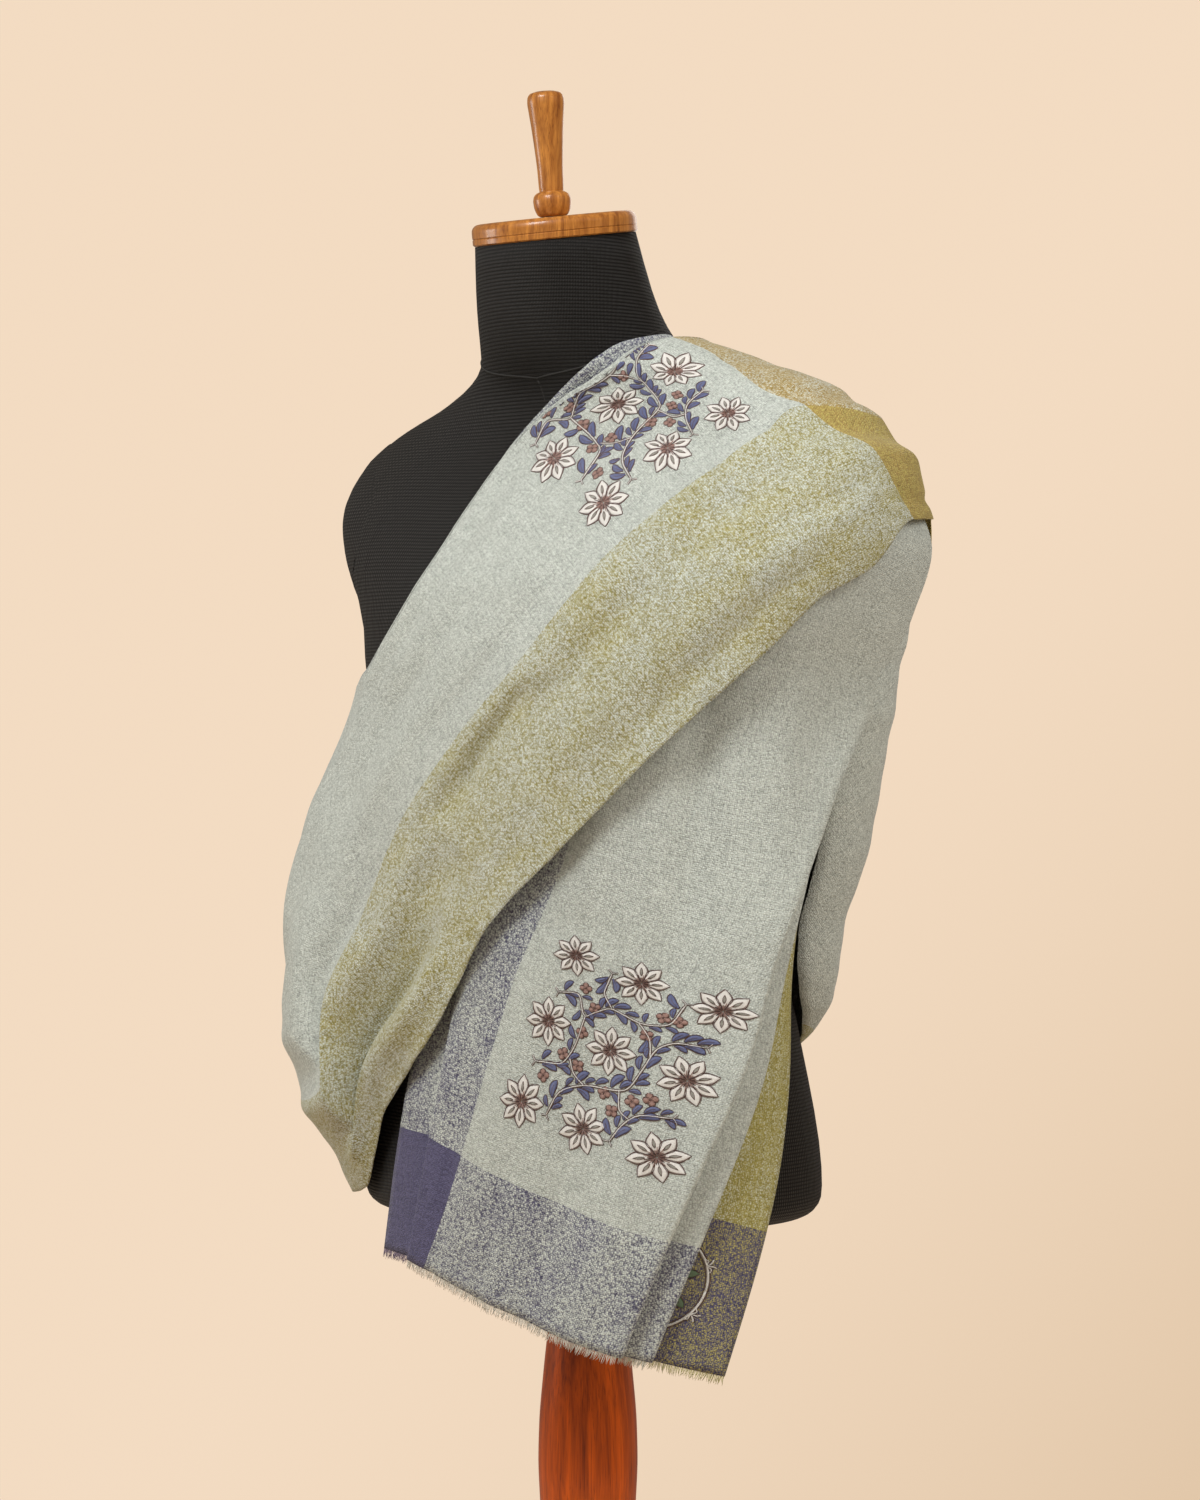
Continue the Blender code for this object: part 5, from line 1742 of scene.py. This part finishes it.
@dataclass
class CornerMedallion:
    """A ring of vine round a white flower with green leaves."""
    u: float = 0.064
    v: float = 0.062
    half_width: float = 0.034
    half_height: float = 0.039

    def stitch(self, work: Needlework) -> None:
        """Add the medallion."""
        middle = np.array([-self.u, self.v])
        turns = np.linspace(0, 2 * math.pi, 61)
        ring = middle + np.stack([np.cos(turns) * self.half_width, np.sin(turns) * self.half_height], -1)
        work.line(ring, 0.0019, Finish.WHITE_THREAD, 0.0012)
        work.line(middle + (ring - middle) * 1.045, 0.0008)
        work.line(middle + (ring - middle) * 0.955, 0.0006)
        for knot in range(6):
            angle = 30 + 60 * knot
            foot = middle + heading(angle) * (self.half_width, self.half_height)
            for lean in (-62, -20, 24, 64):
                bend = foot + heading(angle + lean) * 0.0042
                path = through([foot, bend, bend + heading(angle + lean * 2.1) * 0.0026], 7)
                work.line(path, 0.0013, Finish.WHITE_THREAD, 0.0011)
                work.line(path + beside(path) * 0.0008, 0.0005)
        for leaf in range(6):
            angle = 12 + leaf * 60
            stitch_leaf(work, middle + heading(angle) * 0.0135, angle + 24, 0.0165, Finish.GREEN_THREAD)
        Flower(radius=0.0175, core=0.24, petals=6, fullness=0.52).stitch(work, middle, 0.0)


@dataclass
class Embroidery:
    """All the needlework of the shawl that shows."""
    fall: FrontFall
    cloth: WornCloth
    lift: float = 0.00035
    chest_u: float = 0.2155
    chest_v: float = 2.472
    stretch_u: float = 1.13  # worn metres for each metre of u on the chest
    stretch_v: float = 0.95

    def sash(self, u: Array, v: Array, lift: Any) -> Array:
        """Places on the sash, with shapes kept at their true size round the cluster's middle."""
        return self.cloth.point(self.chest_v + (v - self.chest_v) / self.stretch_v,
                                self.chest_u + (u - self.chest_u) / self.stretch_u, lift)

    def below_fold(self, u: Array, v: Array) -> Array:
        """Tell which places lie below the sash's upper fold."""
        along = self.chest_v + (v - self.chest_v) / self.stretch_v
        return self.chest_u + (u - self.chest_u) / self.stretch_u < self.cloth.width(along) - 0.003

    def build(self) -> list[Piece]:
        """Make the needlework of the front face, the corner and the chest."""
        front, corner, chest = Needlework(), Needlework(), Needlework()
        FlowerCluster(u=0.773, v=0.222, pitch_u=0.0545, pitch_v=0.0655).stitch(front)
        CornerMedallion().stitch(corner)
        FlowerCluster(u=self.chest_u, v=self.chest_v, pitch_u=0.0685, pitch_v=0.06, quarter=1).stitch(chest)
        return [front.lay("embroidery_of_front_face", self.fall.face_place, self.lift),
                corner.lay("embroidery_of_olive_corner", self.fall.olive_place, self.lift),
                chest.lay("embroidery_of_chest", self.sash, self.lift, self.below_fold)]


# ---- dress form
@dataclass
class DressForm:
    """The covered torso with its arm caps and seams."""
    weave_reach: float = 0.19  # metres of cover for each radian round the torso
    seam_height: float = 0.0005
    seam_width: float = 0.0018
    seam_stitch: float = 0.005  # from the last point of a closed seam to its first
    pad_turn: float = -88.0  # middle of the pad on the bare right shoulder
    pad_half_turn: float = 25.0
    pad_height: float = 1.337
    pad_half_height: float = 0.074
    pad_bulge: float = 0.0106
    pad_seat: float = -0.006
    pad_edge: float = 0.0026
    ball_turn: float = -80.0  # where the bare shoulder's padding is fullest
    ball_reach: float = 52.0

    def ball(self, turn: Any, height: Any) -> Array:
        """Metres that the bare shoulder's padding stands out of (or sinks into) the torso's sections."""
        heights = (1.262, 1.275, 1.29, 1.302, 1.315, 1.327, 1.339, 1.352, 1.365, 1.377, 1.389, 1.401, 1.413,
                   1.424, 1.434, 1.443, 1.455, 1.465)
        fullness = (0, 3, 9, 12.5, 14.5, 15, 15, 14, 12, 10, 7, 3.5, -0.5, -3, -4.5, -4, -2, 0)
        share = np.clip(np.abs(np.asarray(turn) - self.ball_turn) / self.ball_reach, 0, 1)
        return smooth(heights, fullness, height) * MM * np.cos(share * np.pi / 2) ** 2

    def shoulder_pad(self) -> Piece:
        """The domed oval pad that closes the bare right arm opening, under its stretched cover."""
        rings, sides = 16, 72
        shares = np.sin(np.linspace(0, np.pi / 2, rings))
        levels = [(share, self.pad_bulge * (1 - share * share) ** 2 - self.pad_edge) for share in shares]
        levels += [(1.0, self.pad_seat)] + [(share, self.pad_seat) for share in (0.8, 0.55, 0.3)]
        angle = np.linspace(0, 2 * np.pi, sides, endpoint=False)
        points = [TORSO.off(self.pad_turn, self.pad_height,
                            levels[0][1] + self.ball(self.pad_turn, self.pad_height))[None, :]]
        for share, out in levels[1:]:
            turn = self.pad_turn + self.pad_half_turn * share * np.cos(angle)
            height = self.pad_height + self.pad_half_height * share * np.sin(angle)
            points.append(TORSO.off(turn, height, out + self.ball(turn, height)))
        faces = [(0, 1 + side, 1 + (side + 1) % sides) for side in range(sides)]
        for corners in tube_corners(len(levels) - 2, sides):
            faces.append(tuple(1 + ring * sides + side for ring, side in corners))
        last = 1 + (len(levels) - 2) * sides
        faces.append(tuple(range(last, last + sides))[::-1])
        corners = sum(len(face) for face in faces)
        piece = mesh_piece("arm_cap_cover_right", np.concatenate(points), faces, [Finish.COVER],
                           np.zeros((corners, 2)))
        outward(piece)
        self.map_weave(piece)
        return piece

    def smooth_copy(self, source: Piece, name: str, levels: int, keep_above: float) -> Piece:
        """A finer, rounder copy of a solid of the frame.

        Args:
            source: The solid's object.
            name: The copy's name.
            levels: Subdivision levels.
            keep_above: Height above which sharp edges stay sharp.

        Returns:
            The copy.
        """
        mesh = source.data.copy()
        mesh.name = name
        mesh.materials.clear()
        mesh.materials.append(Finish.COVER.material())
        work = bmesh.new()
        work.from_mesh(mesh)
        bmesh.ops.remove_doubles(work, verts=work.verts, dist=1e-5)
        crease = work.edges.layers.float.new("crease_edge")
        for edge in work.edges:
            sharp = len(edge.link_faces) == 2 and edge.calc_face_angle(0.0) > math.radians(50)
            if sharp and min(vert.co.z for vert in edge.verts) > keep_above:
                edge[crease] = 1.0
        work.to_mesh(mesh)
        work.free()
        piece = place_mesh(name, mesh)
        with editing(piece):
            bpy.ops.mesh.tris_convert_to_quads(face_threshold=math.radians(60),
                                               shape_threshold=math.radians(80))
        apply_modifier(piece, "rounding", "SUBSURF", levels=levels, render_levels=levels)
        piece.data.shade_smooth()
        self.map_weave(piece)
        return piece

    def pad_out(self, torso: Piece) -> None:
        """Round out the torso's bare shoulder."""
        places = np.array([vert.co[:] for vert in torso.data.vertices])
        heights, middles = zip(*((ring.height, ring.middle) for ring in TORSO.rings))
        middle = smooth(heights, middles, places[:, 2])
        turn = np.degrees(np.arctan2(places[:, 0], middle - places[:, 1]))
        out = self.ball(turn, places[:, 2])
        places += TORSO.off(turn, places[:, 2], out) - TORSO.off(turn, places[:, 2], 0.0)
        torso.data.vertices.foreach_set("co", places.ravel())
        torso.data.update()

    def map_weave(self, piece: Piece) -> None:
        """Map the cover's weave round the form and up it, in metres."""
        mesh = piece.data
        for layer in list(mesh.uv_layers):
            mesh.uv_layers.remove(layer)
        layer = mesh.uv_layers.new(name="Cut")
        for face in mesh.polygons:
            base = math.atan2(face.center.x, -face.center.y - 0.01)
            for loop in face.loop_indices:
                spot = mesh.vertices[mesh.loops[loop].vertex_index].co
                turn = math.atan2(spot.x, -spot.y - 0.01)
                turn += 2 * math.pi * round((base - turn) / (2 * math.pi))
                layer.data[loop].uv = (turn * self.weave_reach, spot.z)

    def seam(self, name: str, turn: Array, height: Array, closed: bool) -> Piece:
        """A narrow stitched welt along a line on the torso.

        Args:
            name: The piece's name.
            turn: Degrees round the torso.
            height: Metres above the floor.
            closed: Whether the line comes back to its start.

        Returns:
            The welt.
        """
        line = TORSO.off(turn, height, 0.0)
        out = unit(TORSO.off(turn, height, 0.01) - line)
        ahead = np.roll(line, -1, 0) - np.roll(line, 1, 0) if closed else np.gradient(line, axis=0)
        side = unit(np.cross(out, ahead))
        rings = [line + side * (self.seam_width / 2 * across) + out * (self.seam_height * rise)
                 for across, rise in FILLED]
        points = np.stack(rings, 1)
        count, size = points.shape[:2]
        far = np.append(walked(line), walked(line)[-1] + self.seam_stitch)
        faces, cut = [], []
        for corners in tube_corners(count if closed else count - 1, size):
            faces.append(tuple(level % count * size + side for level, side in corners))
            cut += [(far[level], side * MM) for level, side in corners]
        if not closed:
            faces += [tuple(range(size)), tuple((count - 1) * size + corner for corner in range(size))[::-1]]
            cut += [(0.0, 0.0)] * (2 * size)
        piece = mesh_piece(name, points.reshape(-1, 3), faces, [Finish.SEAM], np.array(cut))
        outward(piece)
        return piece

    def build(self, nodes: dict[str, Piece]) -> dict[str, Piece]:
        """Make the torso, its caps and its seams.

        Args:
            nodes: The frame's solids.

        Returns:
            The pieces by the node that they stand for, and the seams by their names.
        """
        made = {"form_torso": self.smooth_copy(nodes["form_torso"], "torso_cover", 1, 1.5)}
        self.pad_out(made["form_torso"])
        made["arm_cap_left"] = self.smooth_copy(nodes["arm_cap_left"], "arm_cap_cover_left", 2, 2.0)
        made["arm_cap_right"] = self.shoulder_pad()
        turn = np.arange(0, 360, 3.0)
        height = smooth((0, 30, 60, 90, 135, 180), (1.444, 1.4495, 1.463, 1.4775, 1.49, 1.494),
                        180 - np.abs(180 - turn))
        made["seam_at_neck"] = self.seam("seam_at_neck", turn, height, True)
        height = np.linspace(1.4425, 1.24, 60)
        made["seam_at_front"] = self.seam("seam_at_front", 0.0 * height, height, False)
        return made


# ---- turned wood
class Step(NamedTuple):
    """One point of a turned profile."""
    radius: float
    height: float


@dataclass
class TurnedPiece:
    """A turned wooden piece, made upright by extruding its profile and then leant into place."""
    name: str
    profile: tuple[Step, ...]
    sides: int
    finish: Finish
    seat: tuple[float, float, float] = (0.0, 0.0, 0.0)
    lean: float = 0.0
    fine: float = 0.002  # height between the levels of the smoothed profile
    least: float = 2e-4  # metres between two levels
    sharp: float = 35.0  # degrees from which an edge stays sharp

    def levels(self) -> list[Step]:
        """The profile with rounder stretches between its points."""
        result = [self.profile[0]]
        far = walked(np.array(self.profile))
        count = max(2, round(far[-1] / self.fine))
        places = sorted(set(np.linspace(0, far[-1], count).tolist()) | set(far.tolist()))
        for place in places[1:]:
            radius, height = (float(smooth(far, values, place)) for values in zip(*self.profile))
            if math.hypot(radius - result[-1].radius, height - result[-1].height) > self.least:
                result.append(Step(radius, height))
        return result

    def build(self) -> Piece:
        """Make the piece."""
        deselect()
        levels = self.levels()
        bpy.ops.mesh.primitive_circle_add(vertices=self.sides, radius=levels[0].radius, fill_type="NGON",
                                          location=(0, 0, levels[0].height))
        piece = bpy.context.object
        piece.name = self.name
        piece.data.name = self.name
        with editing(piece):
            for before, after in zip(levels, levels[1:]):
                rise = after.height - before.height
                bpy.ops.mesh.extrude_region_move(TRANSFORM_OT_translate={"value": (0, 0, rise)})
                share = after.radius / before.radius
                bpy.ops.transform.resize(value=(share, share, 1.0), center_override=(0, 0, after.height))
        outward(piece)
        piece.location = Vector(self.seat) + Euler((self.lean, 0, 0)).to_matrix() @ piece.location
        piece.rotation_euler = (self.lean, 0, 0)
        take(piece)
        bpy.ops.object.transform_apply(location=True, rotation=True, scale=True)
        bpy.ops.object.shade_smooth_by_angle(angle=math.radians(self.sharp))
        piece.data.materials.append(self.finish.material())
        return piece


@dataclass
class Stand:
    """The wooden cap and finial on the neck, and the post and base below."""
    neck_tilt: float = math.radians(9.0)
    neck_top: tuple[float, float, float] = (0.0, -0.0405, 1.552)
    cap_radius: float = 0.0634
    cap_thickness: float = 0.0165
    gap: float = 0.0003
    finial_lean: float = math.radians(3.0)
    form_bottom: float = 0.804
    base_radius: float = 0.205
    base_thickness: float = 0.03

    def on_neck(self, rise: float) -> tuple[float, float, float]:
        """A place on the neck's own axis, `rise` above its top."""
        return (self.neck_top[0], self.neck_top[1] - rise * math.sin(self.neck_tilt),
                self.neck_top[2] + rise * math.cos(self.neck_tilt))

    def cap(self) -> TurnedPiece:
        """The disc on the neck, with a bead and a rounded upper edge."""
        radius, top = self.cap_radius, self.cap_thickness
        edge = 0.006
        profile = [Step(radius - 0.0012, 0.0), Step(radius, 0.001), Step(radius, 0.0045),
                   Step(radius - 0.0006, 0.0052), Step(radius, 0.0059), Step(radius, top - edge)]
        for part in range(1, 7):
            angle = math.radians(part * 15)
            profile.append(Step(radius - edge * (1 - math.cos(angle)), top - edge * (1 - math.sin(angle))))
        profile.append(Step(radius - 0.02, top))
        return TurnedPiece("neck_cap_disc", tuple(profile), 96, Finish.CAP_WOOD, self.on_neck(self.gap),
                           self.neck_tilt)

    def finial(self) -> TurnedPiece:
        """The collar, groove and club-shaped grip on the cap."""
        profile = tuple(Step(*pair) for pair in (
            (0.01, 0.0), (0.0118, 0.0015), (0.0142, 0.008), (0.0145, 0.012), (0.0138, 0.0155),
            (0.0115, 0.018), (0.0092, 0.019), (0.0095, 0.022), (0.0098, 0.034), (0.0108, 0.05),
            (0.0123, 0.068), (0.0136, 0.08), (0.0142, 0.0865), (0.0138, 0.0905), (0.0118, 0.0935),
            (0.007, 0.095)))
        rise = self.cap_thickness + 2 * self.gap + profile[0].radius * math.sin(self.finial_lean)
        return TurnedPiece("finial_grip", profile, 48, Finish.CAP_WOOD, self.on_neck(rise),
                           self.neck_tilt - self.finial_lean, 0.0015)

    def post(self) -> TurnedPiece:
        """The turned post from the base up into the torso's underside."""
        foot, top = self.base_thickness + self.gap, self.form_bottom - self.gap
        profile = tuple(Step(*pair) for pair in (
            (0.052, foot), (0.054, foot + 0.006), (0.05, foot + 0.014), (0.036, foot + 0.022),
            (0.03, foot + 0.04), (0.029, 0.15), (0.0305, 0.3), (0.0325, 0.42), (0.032, 0.47),
            (0.0275, 0.485), (0.0275, 0.492), (0.0335, 0.5), (0.0345, 0.53), (0.0372, 0.58),
            (0.0385, 0.612), (0.0378, 0.64), (0.0345, 0.68), (0.0305, 0.72), (0.029, 0.745),
            (0.038, 0.765), (0.04, 0.78), (0.04, top)))
        return TurnedPiece("stand_post_turned", profile, 72, Finish.POST_WOOD, fine=0.006)

    def base(self) -> TurnedPiece:
        """The round base plate with a moulded upper edge."""
        radius, thick = self.base_radius, self.base_thickness
        profile = tuple(Step(*pair) for pair in (
            (radius - 0.003, 0.0), (radius, 0.003), (radius, 0.014), (radius - 0.004, 0.019),
            (radius - 0.012, 0.0215), (radius - 0.02, 0.0225), (radius - 0.034, 0.027),
            (radius - 0.06, thick)))
        return TurnedPiece("stand_base_plate", profile, 128, Finish.POST_WOOD, fine=0.0025)

    def build(self) -> dict[str, Piece]:
        """Make the four pieces, by the node that they stand for."""
        return {"neck_cap": self.cap().build(), "finial": self.finial().build(),
                "stand_post": self.post().build(), "stand_base": self.base().build()}


# ---- studio
@dataclass
class AreaLight:
    """One soft square light aimed at the form."""
    name: str
    azimuth: float  # degrees from the form's front towards its left
    height: float
    distance: float
    size: float
    power: float
    colour: tuple = (1.0, 0.98, 0.95)
    shines: bool = True  # seen in glossy surfaces

    def build(self, aim: Vector) -> None:
        """Make the light, aimed at a point."""
        data = bpy.data.lights.new(self.name, "AREA")
        data.shape = "SQUARE"
        data.size = self.size
        data.energy = self.power
        data.color = self.colour
        light = bpy.data.objects.new(self.name, data)
        angle = math.radians(self.azimuth)
        light.location = (self.distance * math.sin(angle), -self.distance * math.cos(angle), self.height)
        light.rotation_euler = (aim - light.location).to_track_quat("-Z", "Y").to_euler()
        light.visible_glossy = self.shines
        bpy.context.scene.collection.objects.link(light)


@dataclass
class Studio:
    """Camera, floor, lights and the plain warm backdrop."""
    azimuth: float = 38.0
    distance: float = 3.0
    height: float = 1.1605
    side_step: float = 0.0093
    lens: float = 92.88
    backdrop: tuple = (0.895, 0.712, 0.54)
    backdrop_shade: tuple = (0.76, 0.575, 0.4)
    backdrop_bend: float = 1.6
    ambient: tuple = (1.0, 0.85, 0.68)
    ambient_strength: float = 0.25
    floor_radius: float = 2.4
    floor_dark: tuple = (0.8, 0.66, 0.52)
    floor_light: tuple = (0.82, 0.69, 0.55)

    def camera(self) -> None:
        """Place the camera, level, at the height of the chest."""
        angle = math.radians(self.azimuth)
        data = bpy.data.cameras.new("camera")
        data.lens = self.lens
        data.sensor_fit = "VERTICAL"
        data.sensor_height = 36.0
        camera = bpy.data.objects.new("camera", data)
        camera.location = (self.distance * math.sin(angle) + self.side_step * math.cos(angle),
                           -self.distance * math.cos(angle) + self.side_step * math.sin(angle), self.height)
        camera.rotation_euler = (math.pi / 2, 0.0, angle)
        bpy.context.scene.collection.objects.link(camera)
        bpy.context.scene.camera = camera

    def floor(self) -> None:
        """A pale round floor under the stand."""
        deselect()
        bpy.ops.mesh.primitive_circle_add(vertices=96, radius=self.floor_radius, fill_type="NGON",
                                          location=(0, 0, 0))
        floor = bpy.context.object
        floor.name = "studio_floor"
        material, board, shader = principled("studio_paper")
        tone = board.ramp(board.noise(board.add("TexCoord").outputs["Object"], 3.0), 0.3, 0.7)
        colour = board.mix(tone, rgba(self.floor_dark), rgba(self.floor_light))
        board.feed(shader, {"Base Color": colour, "Roughness": 0.9})
        floor.data.materials.append(material)

    def world(self) -> None:
        """A warm backdrop for the camera and a soft neutral light for the object."""
        world = bpy.data.worlds.new("studio_world")
        bpy.context.scene.world = world
        world.use_nodes = True
        board = NodeBoard(world.node_tree)
        soft = world.node_tree.nodes["Background"]
        board.feed(soft, {"Color": rgba(self.ambient), "Strength": self.ambient_strength})
        angle = math.radians(self.azimuth)
        way = {0: board.add("TexCoord").outputs["Generated"], 1: (math.cos(angle), math.sin(angle), -0.8)}
        right = board.add("VectorMath", way, operation="DOT_PRODUCT").outputs["Value"]
        shade = board.join("POWER", board.ramp(right, 0.02, 0.3), self.backdrop_bend)
        colour = board.mix(shade, rgba(self.backdrop), rgba(self.backdrop_shade))
        seen = board.add("Background", {"Color": colour})
        both = board.add("MixShader", {0: board.add("LightPath").outputs["Is Camera Ray"], 1: soft.outputs[0],
                                       2: seen.outputs[0]})
        board.feed(world.node_tree.nodes["World Output"], {"Surface": both.outputs[0]})

    def build(self) -> None:
        """Set up the whole studio."""
        self.camera()
        self.floor()
        self.world()
        aim = Vector((0.0, 0.0, 1.22))
        for light in (AreaLight("key", 8, 3.0, 2.1, 1.0, 62, (0.97, 0.99, 1.0)),
                      AreaLight("side", -60, 1.6, 2.8, 0.9, 21, (1.0, 0.96, 0.9)),
                      AreaLight("fill", 80, 2.7, 2.3, 1.0, 28, (1.0, 0.98, 0.95), False),
                      AreaLight("rim", 106, 2.3, 2.8, 1.0, 17, (0.98, 0.98, 0.96), False),
                      AreaLight("back", 200, 2.1, 3.0, 1.6, 14)):
            light.build(aim)
        bpy.context.scene.view_settings.view_transform = "Standard"


# ---- the whole part
@dataclass
class WornShawl:
    """The dressed form: builds every piece and hides the solids that it stands for."""
    frame: dict

    def register(self, piece: Piece, slot: str, *nodes: str) -> None:
        """Let a piece ride on the body and hide the solids of the nodes that it stands for."""
        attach(piece, BODY)
        if nodes:
            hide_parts(*nodes)
        LOG.info("%s: %d faces", piece.name, len(piece.data.polygons))

    def build(self) -> None:
        """Make the form, its stand and the shawl."""
        for node, piece in DressForm().build(self.frame["nodes"]).items():
            self.register(piece, "black_cover", *([node] if node in self.frame["nodes"] else []))
        for node, piece in Stand().build().items():
            self.register(piece, "red_wood" if node.startswith("stand") else "light_wood", node)
        cloth, fall = WornCloth(), FrontFall()
        worn, pleats, edge = cloth.build(), fall.build(), NeckEdge(cloth).build()
        self.register(worn, "woven_cloth", "shawl_back_drape", "shawl_side_loop", "shawl_front_sash",
                      "shawl_end_tail")
        self.register(pleats, "woven_cloth", "shawl_front_fall")
        self.register(edge, "woven_cloth")
        fringes = FringeMaker(fall, cloth).build()
        for node, piece in fringes.items():
            self.register(piece, "fringe_yarn", node)
        stitched = Embroidery(fall, cloth).build()
        for piece in stitched:
            self.register(piece, "fringe_yarn")


def main() -> None:
    """Load the frame, build the part and its studio, and note the sizes."""
    logging.basicConfig(level=logging.INFO, format="%(name)s: %(message)s")
    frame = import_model()
    Studio().build()
    WornShawl(frame).build()


if __name__ == "__main__":
    main()
